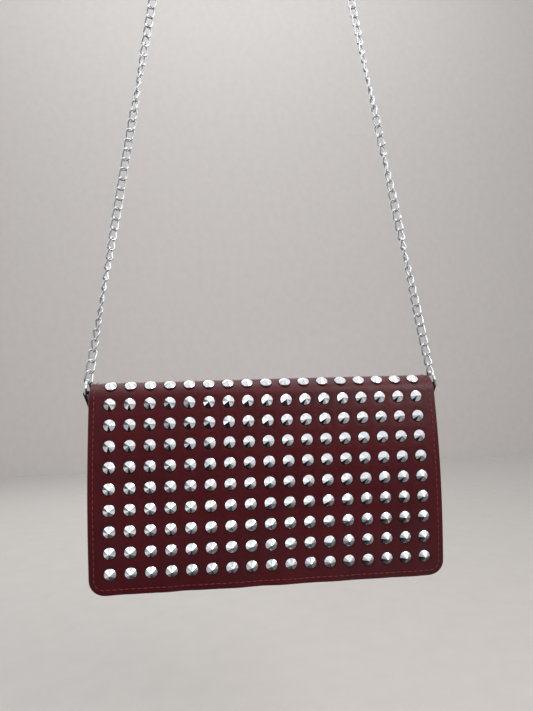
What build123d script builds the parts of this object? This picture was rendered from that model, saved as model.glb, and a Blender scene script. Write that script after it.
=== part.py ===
from build123d import *
import math
import os

# Chain wallet hanging from a peg by its twisted curb-chain strap. Millimetres, +Z up, the flap faces -Y.
# The origin is the centre of the peg. The wallet is drawn with its lowest edge at z = 0 and the middle of
# its depth near y = 0, and every wallet node is moved by HANG as it is written, so that the D-rings hang
# straight under the peg, above the wallet's centre of mass.

# ---------------------------------------------------------------- driving dimensions
FLAP_WIDTH = 210.0
WALLET_HEIGHT = 122.0
BODY_BACK_Y = 12.0
FOLD_RADIUS = 11.0
FRONT_FOLD_Y = -2.8
BACK_FOLD_Y = BODY_BACK_Y - FOLD_RADIUS
BOW_ANGLE = 8.0
CORNER_RADIUS = 9.0

LEATHER = 1.2
LINING = 0.5
WASHER_GAP = 0.3
STIFFENER = 0.5

STUD_COLUMNS = 17
STUD_ROWS = 10
STUD_PITCH_X = 11.6
STUD_PITCH_Z = 12.1
STUD_BOTTOM_MARGIN = 12.3
STUD_RADIUS = 3.5
STUD_RIM = 0.5
STUD_HEIGHT = 2.5
STUD_FACETS = 10
STUD_WALL = 0.5
POST_RADIUS = 0.75
POST_HOLE_RADIUS = 0.85
WASHER_RADIUS = 1.6
WASHER_THICKNESS = 0.14
WASHER_SINK = 0.15

FRONT_PANEL_Y = -9.3
FRONT_PANEL_TOP = 104.0
BODY_HALF_WIDTH = 104.0
BODY_BASE_Z = 2.0
GUSSET = 0.8
BELLOWS_DEPTH = 6.0
BELLOWS_Y = (-7.15, -5.6, -4.05)
POCKET_HALF_DEPTH = 3.0
POCKET_WALL = 0.7
POCKET_BASE_Z = 6.0
POCKET_TOP_Z = 98.0

ZIP_HALF_LENGTH = 92.0
TOOTH_PITCH = 1.35
TOOTH = (1.1, 2.0, 1.8)
TAPE = 0.5
SLIDER = (9.0, 6.4, 0.8)
SLIDER_X = 84.0
PULL_LENGTH = 15.0

SNAP_Z = 28.0
SNAP_RADIUS = 7.0

RING_X = 108.0
RING_Y = -2.5
RING_Z = 118.0
RING_BOW = 5.5
RING_LEG = 2.5
RING_CORNER = 1.2
RING_WIRE = 1.8
TAB_WIDTH = 8.0
TAB_CLEARANCE = 0.08
TAB_LEAF = 1.0
TAB_GAP = 0.02
RIVET_Z = 90.0
RIVET_RADIUS = 1.0

LINK_WIRE = 1.25
LINK_GAP = 0.2
LINK_HALF_WIDTH = 2.2
LINK_HALF_TWIST = 1.3
LINK_BEND = 1.9
LINK_COUNT = 168
STRAP_LEAN = 9.534
CROWN_RADIUS = 24.0
RING_LINK_GAP = 0.12
# Links where one strap body ends and the next begins, counted up from either ring.
LOWER_LINKS = 40
UPPER_LINKS = 78

# ---------------------------------------------------------------- wallet section, y and z
BOW = math.radians(BOW_ANGLE)
FOLD_Z = WALLET_HEIGHT - FOLD_RADIUS
BOW_TOP_Z = FOLD_Z + FOLD_RADIUS * math.sin(BOW)
BOW_RADIUS = BOW_TOP_Z / (2 * math.sin(BOW))
BOW_LENGTH = 2 * BOW * BOW_RADIUS
BOW_CENTRE_Y = FRONT_FOLD_Y + (BOW_RADIUS - FOLD_RADIUS) * math.cos(BOW)
BOW_CENTRE_Z = BOW_RADIUS * math.sin(BOW)
FOLD_END = BOW_LENGTH + FOLD_RADIUS * (math.pi / 2 - BOW)
TOP_END = FOLD_END + BACK_FOLD_Y - FRONT_FOLD_Y
SPINE_END = TOP_END + FOLD_RADIUS * math.pi / 2
ROW_ONE = STUD_BOTTOM_MARGIN + (STUD_ROWS - 2) * STUD_PITCH_Z
FLAP_HINGE = ROW_ONE + STUD_PITCH_Z / 2


def elevation(s):
    """Angle of the leather's outward normal above -Y, at s mm up the skin from the flap's lower edge."""
    if s <= BOW_LENGTH:
        return s / BOW_RADIUS - BOW
    if s <= FOLD_END:
        return BOW + (s - BOW_LENGTH) / FOLD_RADIUS
    if s <= TOP_END:
        return math.pi / 2
    return math.pi / 2 + (s - TOP_END) / FOLD_RADIUS


def skin_point(s, depth, x=0.0):
    """Point at s mm up the outer leather and depth mm under its outer face."""
    angle = elevation(s)
    if s <= BOW_LENGTH:
        centre = (BOW_CENTRE_Y, BOW_CENTRE_Z, BOW_RADIUS)
    elif s <= FOLD_END:
        centre = (FRONT_FOLD_Y, FOLD_Z, FOLD_RADIUS)
    elif s <= TOP_END:
        centre = (FRONT_FOLD_Y + s - FOLD_END, FOLD_Z, FOLD_RADIUS)
    else:
        centre = (BACK_FOLD_Y, FOLD_Z, FOLD_RADIUS)
    reach = centre[2] - depth
    return Vector(x, centre[0] - reach * math.cos(angle), centre[1] + reach * math.sin(angle))


def skin_plane(s, x, depth=0.0):
    """Plane on the skin: its normal points out of the leather and its x axis is +X."""
    angle = elevation(s)
    normal = (0, -math.cos(angle), math.sin(angle))
    return Plane(origin=skin_point(s, depth, x), x_dir=(1, 0, 0), z_dir=normal)


def skin_strip(s_from, s_to, outer, inner, half_width):
    """Solid strip of skin between two heights and two depths, extruded across the wallet."""
    joints = [s for s in (BOW_LENGTH, FOLD_END, TOP_END) if s_from < s < s_to]
    stops = [s_from] + joints + [s_to]

    def run(depth):
        edges = []
        for low, high in zip(stops, stops[1:]):
            points = [skin_point(s, depth, -half_width) for s in (low, (low + high) / 2, high)]
            if low == FOLD_END:
                edges.append(Edge.make_line(points[0], points[2]))
            else:
                edges.append(Edge.make_three_point_arc(*points))
        return edges

    outer_edges = run(outer)
    inner_edges = run(inner)
    ends = [
        Edge.make_line(outer_edges[0] @ 0, inner_edges[0] @ 0),
        Edge.make_line(outer_edges[-1] @ 1, inner_edges[-1] @ 1),
    ]
    outline = Wire(outer_edges + inner_edges + ends)
    return Solid.extrude(Face(outline), Vector(2 * half_width, 0, 0))


def round_lower_corners(slab, radius):
    """Round the two lowest corners of a panel that stands on edge."""
    across = [e for e in slab.edges().filter_by(GeomType.LINE) if abs(e.tangent_at(0).Y) > 0.9]
    lowest = sorted(across, key=lambda e: e.center().Z)[:2]
    return slab.fillet(radius, lowest)


def block(x_range, y_range, z_range):
    """Box between two corners."""
    size = [high - low for low, high in (x_range, y_range, z_range)]
    corner = Location((x_range[0], y_range[0], z_range[0]))
    return Solid.make_box(*size).moved(corner)


def mirrored(solid):
    """The solid and its twin on the other side of the wallet."""
    return [solid, solid.mirror(Plane.YZ)]


def wire_loop(corners, bends, wire):
    """Closed loop of round wire: straight runs joined by tangent bends, one bend radius for each corner."""
    count = len(corners)
    points = [Vector(*corner) for corner in corners]
    pieces = []
    starts = []
    ends = []
    for i in range(count):
        before = (points[i - 1] - points[i]).normalized()
        after = (points[(i + 1) % count] - points[i]).normalized()
        half = math.radians(before.get_angle(after)) / 2
        reach = bends[i] / math.tan(half)
        bisector = (before + after).normalized()
        centre = points[i] + bisector * (bends[i] / math.sin(half))
        start = points[i] + before * reach
        end = points[i] + after * reach
        radial = (start - centre).normalized()
        axis = radial.cross((end - centre).normalized()).normalized()
        plane = Plane(origin=centre, x_dir=radial, z_dir=axis)
        turn = 180 - math.degrees(2 * half)
        pieces.append(Solid.make_torus(bends[i], wire / 2, plane, major_angle=turn))
        starts.append(start)
        ends.append(end)
    for i in range(count):
        run = starts[(i + 1) % count] - ends[i]
        if run.length > 1e-3:
            pieces.append(Solid.make_cylinder(wire / 2, run.length, Plane(origin=ends[i], z_dir=run)))
    return pieces[0].fuse(*pieces[1:])


# ---------------------------------------------------------------- strap layout
LEAN = math.radians(STRAP_LEAN)
RUN_LENGTH = (RING_X - CROWN_RADIUS * math.cos(LEAN)) / math.sin(LEAN)
CROWN_LENGTH = CROWN_RADIUS * (math.pi - 2 * LEAN)
LINK_PITCH = (2 * RUN_LENGTH + CROWN_LENGTH - LINK_WIRE - LINK_GAP) / LINK_COUNT
LINK_HALF_LENGTH = (LINK_PITCH + LINK_WIRE + LINK_GAP) / 2
STRAP_FOOT_Z = CROWN_RADIUS * math.sin(LEAN) - RUN_LENGTH * math.cos(LEAN)
BOW_REACH = RING_BOW - (RING_WIRE + LINK_WIRE) / 2 - RING_LINK_GAP
HANG = (0, -RING_Y, STRAP_FOOT_Z - RING_Z - BOW_REACH)
END_TURN = math.degrees(math.atan2(LINK_HALF_TWIST, LINK_HALF_WIDTH))

# Twist of the strap about its own run, in degrees, at links counted from the left ring. It only ever
# falls, because these links jam when they are turned the other way. The links lie flat to the peg over
# the crown, and face the front where the strap's bodies join.
TWIST = (
    (0, END_TURN),
    (3, -38),
    (15, -140),
    (26, -195),
    (30, -275),
    (39, -360),
    (43, -360),
    (76, -900),
    (79, -900),
    (82, -960),
    (85, -990),
    (88, -1020),
    (90, -1080),
    (92, -1080),
    (124, -1620),
    (128, -1620),
    (139.5, -1710),
    (146.6, -1890),
    (156.7, -2070),
    (LINK_COUNT - 1, -2160 - END_TURN),
)


def twist_at(index):
    """Twist of one link, straight-line between the listed ones."""
    for (low, low_turn), (high, high_turn) in zip(TWIST, TWIST[1:]):
        if index <= high:
            return low_turn + (high_turn - low_turn) * (index - low) / (high - low)
    return TWIST[-1][1]


def strap_plane(distance, twist):
    """Plane across the strap at a distance along it from the left ring, turned by the strap's twist."""
    if distance <= RUN_LENGTH:
        angle = LEAN
        arc_angle = LEAN
        beyond = distance - RUN_LENGTH
    elif distance <= RUN_LENGTH + CROWN_LENGTH:
        angle = LEAN + (distance - RUN_LENGTH) / CROWN_RADIUS
        arc_angle = angle
        beyond = 0.0
    else:
        angle = math.pi - LEAN
        arc_angle = angle
        beyond = distance - RUN_LENGTH - CROWN_LENGTH
    along = Vector(math.sin(angle), 0, math.cos(angle))
    on_arc = Vector(-math.cos(arc_angle), 0, math.sin(arc_angle)) * CROWN_RADIUS
    across = Vector(0, 1, 0).cross(along).rotate(Axis((0, 0, 0), along), twist)
    return Plane(origin=on_arc + along * beyond, x_dir=across, z_dir=along)


def curb_link():
    """One twisted link, long along z, its upper end turned one way and its lower end the other."""
    a = LINK_HALF_WIDTH
    b = LINK_HALF_TWIST
    h = LINK_HALF_LENGTH
    corners = [(a, b, h), (a, -b, -h), (-a, b, -h), (-a, -b, h)]
    return wire_loop(corners, [LINK_BEND] * 4, LINK_WIRE)


def strap_links(first, last):
    """Links first to last - 1, counted from the left ring."""
    link = curb_link()
    return [link.moved(strap_plane(LINK_HALF_LENGTH + index * LINK_PITCH, twist_at(index)).location)
            for index in range(first, last)]


# ---------------------------------------------------------------- flap and spine
def stud_places(row):
    """Plane under each stud of one row, on the leather's outer face."""
    s = STUD_BOTTOM_MARGIN + (STUD_ROWS - 1 - row) * STUD_PITCH_Z
    first = -(STUD_COLUMNS - 1) / 2 * STUD_PITCH_X
    return [skin_plane(s, first + column * STUD_PITCH_X) for column in range(STUD_COLUMNS)]


def pyramid(radius, height):
    """Faceted cone on the XY plane."""
    base = RegularPolygon(radius, STUD_FACETS).face().outer_wire()
    return Solid.make_loft([base, Vertex(0, 0, height)])


def stud():
    """Hollow faceted cone stud on a round rim, with a post that goes through the leather."""
    cone_height = STUD_HEIGHT - STUD_RIM
    rim = Solid.make_cylinder(STUD_RADIUS, STUD_RIM)
    cone = pyramid(STUD_RADIUS, cone_height).moved(Location((0, 0, STUD_RIM)))
    hollow_height = cone_height * (1 - STUD_WALL / STUD_RADIUS) - STUD_WALL
    hollow = Solid.make_cone(STUD_RADIUS - 2 * STUD_WALL, 0, hollow_height)
    post_length = LEATHER + WASHER_GAP + hollow_height / 2
    post = Solid.make_cylinder(POST_RADIUS, post_length).moved(Location((0, 0, -LEATHER - WASHER_GAP)))
    tip = Solid.make_cylinder(POST_RADIUS, STUD_HEIGHT / 2).moved(Location((0, 0, hollow_height / 3)))
    return rim.fuse(cone).cut(hollow).fuse(post, tip)


def stud_washers(rows):
    """Thin washers clenched on the posts, between the leather and what lines it."""
    disc = Solid.make_cylinder(WASHER_RADIUS, WASHER_THICKNESS)
    washer = disc.cut(Solid.make_cylinder(POST_HOLE_RADIUS, WASHER_THICKNESS))
    down = Location((0, 0, -LEATHER - WASHER_SINK - WASHER_THICKNESS))
    return [washer.moved(place.location * down) for row in rows for place in stud_places(row)]


def punched(strip, rows):
    """Leather with a hole for each stud's post."""
    punch = Solid.make_cylinder(POST_HOLE_RADIUS, 3 * LEATHER).moved(Location((0, 0, -2 * LEATHER)))
    return strip.cut(*[punch.moved(place.location) for row in rows for place in stud_places(row)])


def flap_parts():
    """The flap's leather, stiffener and lining."""
    half = FLAP_WIDTH / 2
    stiffener_depth = LEATHER + WASHER_GAP
    lining_depth = stiffener_depth + STIFFENER
    leather = round_lower_corners(skin_strip(0, FLAP_HINGE, 0, LEATHER, half), CORNER_RADIUS)
    stiffener = skin_strip(4.0, FLAP_HINGE - 4, stiffener_depth, lining_depth, half - 4)
    lining = skin_strip(1.2, FLAP_HINGE - 1, lining_depth, lining_depth + LINING, half - 1.2)
    return {
        "flap_leather": [punched(leather, range(1, STUD_ROWS))],
        "flap_stiffener": [round_lower_corners(stiffener, CORNER_RADIUS - 3)],
        "flap_lining": [round_lower_corners(lining, CORNER_RADIUS - 1)],
        "flap_stud_washers": stud_washers(range(1, STUD_ROWS)),
    }


def spine_parts():
    """The fold of leather over the wallet's top, with the row of studs along its front edge."""
    half = FLAP_WIDTH / 2
    start = FLAP_HINGE + 0.05
    lining_depth = LEATHER + WASHER_GAP
    return {
        "spine_leather": [punched(skin_strip(start, SPINE_END, 0, LEATHER, half), [0])],
        "spine_lining": [skin_strip(start + 1, SPINE_END, lining_depth, lining_depth + LINING, half - 1.2)],
        "spine_stud_washers": stud_washers([0]),
    }


def stud_parts():
    """One node for each row of studs."""
    one = stud()
    return {f"studs_row_{row}": [one.moved(place.location) for place in stud_places(row)]
            for row in range(STUD_ROWS)}


# ---------------------------------------------------------------- body
def strip_outline(points, thickness):
    """Face of a bent sheet seen from above, mitred at each bend."""
    sides = ([], [])
    for i, point in enumerate(points):
        here = Vector(*point)
        normals = []
        for a, b in ((i - 1, i), (i, i + 1)):
            if 0 <= a and b < len(points):
                run = (Vector(*points[b]) - Vector(*points[a])).normalized()
                normals.append(Vector(-run.Y, run.X))
        mean = sum(normals, Vector()).normalized()
        reach = thickness / 2 / mean.dot(normals[0])
        sides[0].append(here + mean * reach)
        sides[1].append(here - mean * reach)
    return Face(Wire.make_polygon(sides[0] + sides[1][::-1], close=True))


def gusset():
    """Right-hand side wall, with a bellows fold that lets the front panel open and a hole for its rivet."""
    middle = BODY_HALF_WIDTH - GUSSET / 2
    lining_y = BODY_BACK_Y - LEATHER - LINING
    plan = [
        (middle, BELLOWS_Y[0]),
        (middle - BELLOWS_DEPTH, BELLOWS_Y[1]),
        (middle, BELLOWS_Y[2]),
        (middle, lining_y),
    ]
    base = BODY_BASE_Z + LEATHER
    face = strip_outline(plan, GUSSET).moved(Location((0, 0, base)))
    return Solid.extrude(face, Vector(0, 0, FRONT_PANEL_TOP - base)).cut(rivet_shank(RIVET_RADIUS + 0.05))


def rivet_shank(radius):
    """Right-hand rivet's shank, through the gusset and the ring tab."""
    plane = Plane(origin=(BODY_HALF_WIDTH - GUSSET, RING_Y, RIVET_Z), z_dir=(1, 0, 0))
    return Solid.make_cylinder(radius, GUSSET + TAB_GAP + 2 * TAB_LEAF, plane)


def body_parts():
    """Back, base, gussets, front panel and the linings between them."""
    back_inner = BODY_BACK_Y - LEATHER
    front_inner = FRONT_PANEL_Y + LEATHER
    base_top = BODY_BASE_Z + LEATHER
    half = BODY_HALF_WIDTH
    back = block((-FLAP_WIDTH / 2, FLAP_WIDTH / 2), (back_inner, BODY_BACK_Y), (BODY_BASE_Z, FOLD_Z))
    back_lining = block((-half, half), (back_inner - LINING, back_inner), (base_top, FOLD_Z - 3))
    base = block((-half, half), (FRONT_PANEL_Y, back_inner), (BODY_BASE_Z, base_top))
    front = block((-half, half), (FRONT_PANEL_Y, front_inner), (base_top + 0.1, FRONT_PANEL_TOP))
    front_lining = block((-half + 1, half - 1), (front_inner, front_inner + LINING),
                         (base_top + 0.6, FRONT_PANEL_TOP - 0.6))
    right_gusset = gusset()
    return {
        "back_panel": [round_lower_corners(back, CORNER_RADIUS)],
        "back_lining": [back_lining],
        "base_panel": [base],
        "front_panel": [front],
        "front_lining": [front_lining],
        "gusset_right": [right_gusset],
        "gusset_left": [right_gusset.mirror(Plane.YZ)],
    }


def card_slot_parts():
    """Three stepped card slots in each half of the rear compartment."""
    face = BODY_BACK_Y - LEATHER - LINING
    steps = {"card_slot_top": (0, 96), "card_slot_middle": (1, 82), "card_slot_low": (2, 68)}
    leaf = 0.7
    return {name: mirrored(block((5, 97), (face - (level + 1) * leaf, face - level * leaf), (22, top)))
            for name, (level, top) in steps.items()}


def pocket_parts():
    """The zipped pocket that divides the wallet into a front and a rear compartment."""
    reach = BODY_HALF_WIDTH - GUSSET - 0.1
    wall_in = POCKET_HALF_DEPTH - POCKET_WALL
    height = (POCKET_BASE_Z, POCKET_TOP_Z)
    front = block((-reach, reach), (-POCKET_HALF_DEPTH, -wall_in), height)
    rear = block((-reach, reach), (wall_in, POCKET_HALF_DEPTH), height)
    floor = block((-reach, reach), (-wall_in, wall_in), (POCKET_BASE_Z, POCKET_BASE_Z + POCKET_WALL))
    end = block((ZIP_HALF_LENGTH + 6, reach), (-wall_in, wall_in), (POCKET_TOP_Z - 8, POCKET_TOP_Z))
    return {
        "pocket_wall_front": [front],
        "pocket_wall_rear": [rear],
        "pocket_floor": [floor],
        "pocket_end_tabs": mirrored(end),
    }


# ---------------------------------------------------------------- zip
def zip_parts():
    """Zip tapes, interlocked metal teeth and end stops along the top of the pocket."""
    width, depth, height = TOOTH
    tooth_z = (POCKET_TOP_Z + TAPE / 2 - height / 2, POCKET_TOP_Z + TAPE / 2 + height / 2)
    overlap = 0.5
    root = depth - overlap
    tape_x = (-ZIP_HALF_LENGTH - 5, ZIP_HALF_LENGTH + 5)
    tape = (POCKET_TOP_Z, POCKET_TOP_Z + TAPE)
    count = int(2 * ZIP_HALF_LENGTH / TOOTH_PITCH)
    teeth = []
    for index in range(count):
        x = (index - (count - 1) / 2) * TOOTH_PITCH
        y = (-root, overlap) if index % 2 else (-overlap, root)
        teeth.append(block((x - width / 2, x + width / 2), y, tooth_z))
    stop = block((ZIP_HALF_LENGTH + 0.6, ZIP_HALF_LENGTH + 3), (-root, root), tooth_z)
    return {
        "zip_tape_front": [block(tape_x, (-POCKET_HALF_DEPTH, -root - 0.05), tape)],
        "zip_tape_rear": [block(tape_x, (root + 0.05, POCKET_HALF_DEPTH), tape)],
        "zip_teeth": teeth,
        "zip_stops": mirrored(stop),
    }


SLIDER_TOP = POCKET_TOP_Z + 1.5
PULL_Z = SLIDER_TOP + SLIDER[2] + 1.0
BAIL_INNER = 1.0
BAIL_WIRE = 0.7
PULL_ROD_RADIUS = 0.5


def slider_parts():
    """Slider plates above and below the teeth, the bail on top, and the pull that hangs on the bail."""
    length, width, plate = SLIDER
    half_x = (SLIDER_X - length / 2, SLIDER_X + length / 2)
    half_y = width / 2
    lip = 0.6
    top = block(half_x, (-half_y, half_y), (SLIDER_TOP, SLIDER_TOP + plate))
    top_lips = [block(half_x, y, (POCKET_TOP_Z + TAPE + 0.15, SLIDER_TOP))
                for y in ((-half_y, -half_y + lip), (half_y - lip, half_y))]
    below = POCKET_TOP_Z - 1.1
    bottom = block(half_x, (-2.0, 2.0), (below - plate, below))
    post_y = (-0.8, 0.8)
    bail_foot = SLIDER_TOP + plate
    bail_head = PULL_Z + PULL_ROD_RADIUS + 0.2
    outer = BAIL_INNER + BAIL_WIRE
    posts = [block((SLIDER_X + side * BAIL_INNER, SLIDER_X + side * outer)[::side], post_y,
                   (bail_foot, bail_head)) for side in (-1, 1)]
    bar = block((SLIDER_X - outer, SLIDER_X + outer), post_y, (bail_head, bail_head + BAIL_WIRE))
    upper = top.fuse(*top_lips, *posts, bar)
    return {"zip_slider": [upper, bottom], "zip_pull": [zip_pull()]}


def zip_pull():
    """Pull tab with a rod that turns in the bail; it lies flat towards the middle of the zip."""
    arm = 0.4
    arm_y = (1.1, 1.9)
    reach = 3.6
    rod_plane = Plane(origin=(SLIDER_X, -arm_y[1], PULL_Z), z_dir=(0, 1, 0))
    rod = Solid.make_cylinder(PULL_ROD_RADIUS, 2 * arm_y[1], rod_plane)
    arms = [block((SLIDER_X - reach - 1, SLIDER_X), y, (PULL_Z - arm, PULL_Z + arm))
            for y in (arm_y, (-arm_y[1], -arm_y[0]))]
    tab = block((SLIDER_X - PULL_LENGTH, SLIDER_X - reach), (-2.4, 2.4), (PULL_Z - arm, PULL_Z + arm))
    upright = tab.edges().filter_by(Axis.Z)
    return rod.fuse(*arms, tab.fillet(1.2, upright))


# ---------------------------------------------------------------- fastening
def snap_parts():
    """Magnetic snap: a socket on the front panel and a disc with a nub on the flap's lining."""
    s = SNAP_Z / math.cos(BOW)
    flap_inner = LEATHER + WASHER_GAP + STIFFENER + LINING
    face = skin_point(s, flap_inner)
    nub_radius = 1.8
    socket_height = 2.2
    socket_plane = Plane(origin=(0, FRONT_PANEL_Y, face.Z), z_dir=(0, -1, 0))
    socket = Solid.make_cylinder(SNAP_RADIUS, socket_height, socket_plane)
    recess_plane = Plane(origin=(0, FRONT_PANEL_Y - 1.0, face.Z), z_dir=(0, -1, 0))
    socket = socket.cut(Solid.make_cylinder(nub_radius + 0.7, socket_height, recess_plane))
    disc_plane = skin_plane(s, 0, flap_inner + 0.08)
    inward = Plane(origin=disc_plane.origin, x_dir=(1, 0, 0), z_dir=-disc_plane.z_dir)
    disc_height = FRONT_PANEL_Y - socket_height - face.Y - 1.0
    disc = Solid.make_cylinder(SNAP_RADIUS, disc_height, inward)
    nub = Solid.make_cylinder(nub_radius, disc_height + 1.4, inward)
    return {"snap_socket": [socket], "snap_disc": [disc.fuse(nub)]}


# ---------------------------------------------------------------- strap ends
BAR_Z = RING_Z - RING_LEG


def ring_parts():
    """D-rings in folded leather side tabs, each tab riveted to its gusset."""
    front = RING_Y - RING_BOW
    back = RING_Y + RING_BOW
    top = RING_Z + RING_BOW
    corners = [(RING_X, front, BAR_Z), (RING_X, back, BAR_Z), (RING_X, back, top), (RING_X, front, top)]
    ring = wire_loop(corners, [RING_CORNER, RING_CORNER, RING_BOW, RING_BOW], RING_WIRE)
    tab, rivet = ring_tab()
    return {
        "d_ring_right": [ring],
        "d_ring_left": [ring.mirror(Plane.YZ)],
        "ring_tab_right": [tab],
        "ring_tab_left": [tab.mirror(Plane.YZ)],
        "tab_rivets": mirrored(rivet),
    }


def ring_tab():
    """Right-hand tab, folded round the ring's bar and pressed flat against the gusset, and its rivet."""
    foot_z = RIVET_Z - 6
    neck_z = FRONT_PANEL_TOP - 4
    inner = BODY_HALF_WIDTH + TAB_GAP
    outer = inner + 2 * TAB_LEAF
    hole = RING_WIRE / 2 + TAB_CLEARANCE
    front = RING_Y - TAB_WIDTH / 2

    def slab(points):
        face = Face(Wire.make_polygon([(x, front, z) for x, z in points], close=True))
        return Solid.extrude(face, Vector(0, TAB_WIDTH, 0))

    flat = slab([(inner, foot_z), (outer, foot_z), (outer, neck_z), (inner, neck_z)])
    neck = slab([(inner, neck_z - 0.5), (outer, neck_z - 0.5), (RING_X + TAB_LEAF, BAR_Z), (RING_X - TAB_LEAF, BAR_Z)])
    eye_plane = Plane(origin=(RING_X, front, BAR_Z), z_dir=(0, 1, 0))
    eye = Solid.make_cylinder(hole + TAB_LEAF, TAB_WIDTH, eye_plane)
    bore = Solid.make_cylinder(hole, TAB_WIDTH, eye_plane)
    head = Solid.make_cone(2.6, 1.8, 0.8, Plane(origin=(outer, RING_Y, RIVET_Z), z_dir=(1, 0, 0)))
    tab = flat.fuse(neck, eye).cut(bore, rivet_shank(RIVET_RADIUS + 0.05))
    return tab, head.fuse(rivet_shank(RIVET_RADIUS))


def strap_parts():
    """The strap's five lengths of chain."""
    last = LINK_COUNT
    return {
        "chain_left_lower": strap_links(0, LOWER_LINKS),
        "chain_left_upper": strap_links(LOWER_LINKS, UPPER_LINKS),
        "chain_crown": strap_links(UPPER_LINKS, last - UPPER_LINKS),
        "chain_right_upper": strap_links(last - UPPER_LINKS, last - LOWER_LINKS),
        "chain_right_lower": strap_links(last - LOWER_LINKS, last),
    }


# ---------------------------------------------------------------- write the nodes
def write(parts, offset):
    """Write each node to its own file, moved to where it hangs."""
    for name, solids in parts.items():
        moved = [solid.moved(Location(offset)) for solid in solids]
        shape = moved[0] if len(moved) == 1 else Compound(children=moved)
        export_step(shape, f"parts/{name}.step")


os.makedirs("parts", exist_ok=True)
write(strap_parts(), (0, 0, 0))
for group in (flap_parts, spine_parts, stud_parts, body_parts, card_slot_parts, pocket_parts, zip_parts,
              slider_parts, snap_parts, ring_parts):
    write(group(), HANG)
print(f"link pitch {LINK_PITCH:.3f}, strap length {2 * RUN_LENGTH + CROWN_LENGTH:.1f}")
print(f"wallet moved by {HANG[1]:.2f} {HANG[2]:.2f}, ring centre z {RING_Z + HANG[2]:.2f}")
hinge = skin_point(FLAP_HINGE, 0) + Vector(*HANG)
print(f"flap hinge y {hinge.Y:.3f} z {hinge.Z:.3f}")
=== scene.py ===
import bpy
import bmesh
import math
from mathutils import Matrix, Vector, noise


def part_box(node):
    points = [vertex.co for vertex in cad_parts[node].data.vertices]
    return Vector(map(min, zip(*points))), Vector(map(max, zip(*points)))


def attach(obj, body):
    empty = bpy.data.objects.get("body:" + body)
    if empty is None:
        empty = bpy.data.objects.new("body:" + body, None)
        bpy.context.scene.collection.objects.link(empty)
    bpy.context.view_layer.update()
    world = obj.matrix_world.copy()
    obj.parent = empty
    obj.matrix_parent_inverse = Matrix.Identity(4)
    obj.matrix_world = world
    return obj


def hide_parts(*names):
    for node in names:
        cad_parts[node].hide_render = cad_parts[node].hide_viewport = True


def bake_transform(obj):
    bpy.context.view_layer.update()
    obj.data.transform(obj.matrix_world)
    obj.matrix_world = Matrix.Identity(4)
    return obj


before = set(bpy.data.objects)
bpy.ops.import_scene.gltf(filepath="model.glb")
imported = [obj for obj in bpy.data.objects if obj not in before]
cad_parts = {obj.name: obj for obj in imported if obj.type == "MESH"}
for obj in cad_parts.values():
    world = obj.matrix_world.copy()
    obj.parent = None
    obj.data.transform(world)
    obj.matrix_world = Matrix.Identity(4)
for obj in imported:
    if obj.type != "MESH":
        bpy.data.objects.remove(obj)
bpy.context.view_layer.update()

# ---------------------------------------------------------------- sizes, in metres, from the frame
MM = 0.001
FLAP_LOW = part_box("flap_leather")[0]
SPINE_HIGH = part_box("spine_leather")[1]
BACK_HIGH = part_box("back_panel")[1]
FRONT_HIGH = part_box("front_panel")[1]
HALF_WIDTH = BACK_HIGH.x
BOTTOM_Z = FLAP_LOW.z
HEIGHT = SPINE_HIGH.z - BOTTOM_Z
LEATHER = 1.2 * MM
CORNER = 9 * MM
FOLD_RADIUS = 11 * MM
TOP_FLAT = 3.8 * MM
BOW = math.radians(8)

FOLD_Z = BOTTOM_Z + HEIGHT - FOLD_RADIUS
BACK_FOLD_Y = BACK_HIGH.y - FOLD_RADIUS
FRONT_FOLD_Y = BACK_FOLD_Y - TOP_FLAT
BOW_RADIUS = (FOLD_Z - BOTTOM_Z + FOLD_RADIUS * math.sin(BOW)) / (2 * math.sin(BOW))
BOW_LENGTH = 2 * BOW * BOW_RADIUS
BOW_CENTRE_Y = FRONT_FOLD_Y + (BOW_RADIUS - FOLD_RADIUS) * math.cos(BOW)
BOW_CENTRE_Z = BOTTOM_Z + BOW_RADIUS * math.sin(BOW)
FOLD_END = BOW_LENGTH + FOLD_RADIUS * (math.pi / 2 - BOW)
TOP_END = FOLD_END + TOP_FLAT
SPINE_END = TOP_END + FOLD_RADIUS * math.pi / 2
SKIN_END = SPINE_END + FOLD_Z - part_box("back_panel")[0].z

STUD_COLUMNS = 17
STUD_ROWS = 10
STUD_PITCH_X = 11.6 * MM
STUD_PITCH_Z = 12.1 * MM
STUD_MARGIN = 12.3 * MM
STUD_RADIUS = 3.5 * MM
STUD_HEIGHT = 2.5 * MM
FLAP_HINGE = STUD_MARGIN + (STUD_ROWS - 1.5) * STUD_PITCH_Z


# ---------------------------------------------------------------- materials
def linear(hex_colour):
    """Linear colour of an sRGB hex value."""
    channels = [int(hex_colour[i:i + 2], 16) / 255 for i in (1, 3, 5)]
    return tuple(c / 12.92 if c <= 0.04045 else ((c + 0.055) / 1.055) ** 2.4 for c in channels) + (1.0,)


def new_material(name):
    """Empty node material with one Principled shader; returns the material, its tree and the shader."""
    material = bpy.data.materials.new(name)
    material.use_nodes = True
    tree = material.node_tree
    return material, tree, tree.nodes["Principled BSDF"]


def add(tree, kind, settings=None, links=None):
    """One node, with its settings by name and its inputs by name: a value, or another node's output."""
    node = tree.nodes.new(kind)
    for key, value in (settings or {}).items():
        setattr(node, key, value)
    for key, value in (links or {}).items():
        if isinstance(value, bpy.types.NodeSocket):
            tree.links.new(value, node.inputs[key])
        else:
            node.inputs[key].default_value = value
    return node


def ramp(tree, factor, stops):
    """Colour ramp between (place, colour) stops."""
    node = add(tree, "ShaderNodeValToRGB", links={"Fac": factor})
    elements = node.color_ramp.elements
    while len(elements) < len(stops):
        elements.new(0.5)
    for element, (place, colour) in zip(elements, stops):
        element.position = place
        element.color = colour
    return node.outputs["Color"]


def grey(value):
    return (value, value, value, 1.0)


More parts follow.
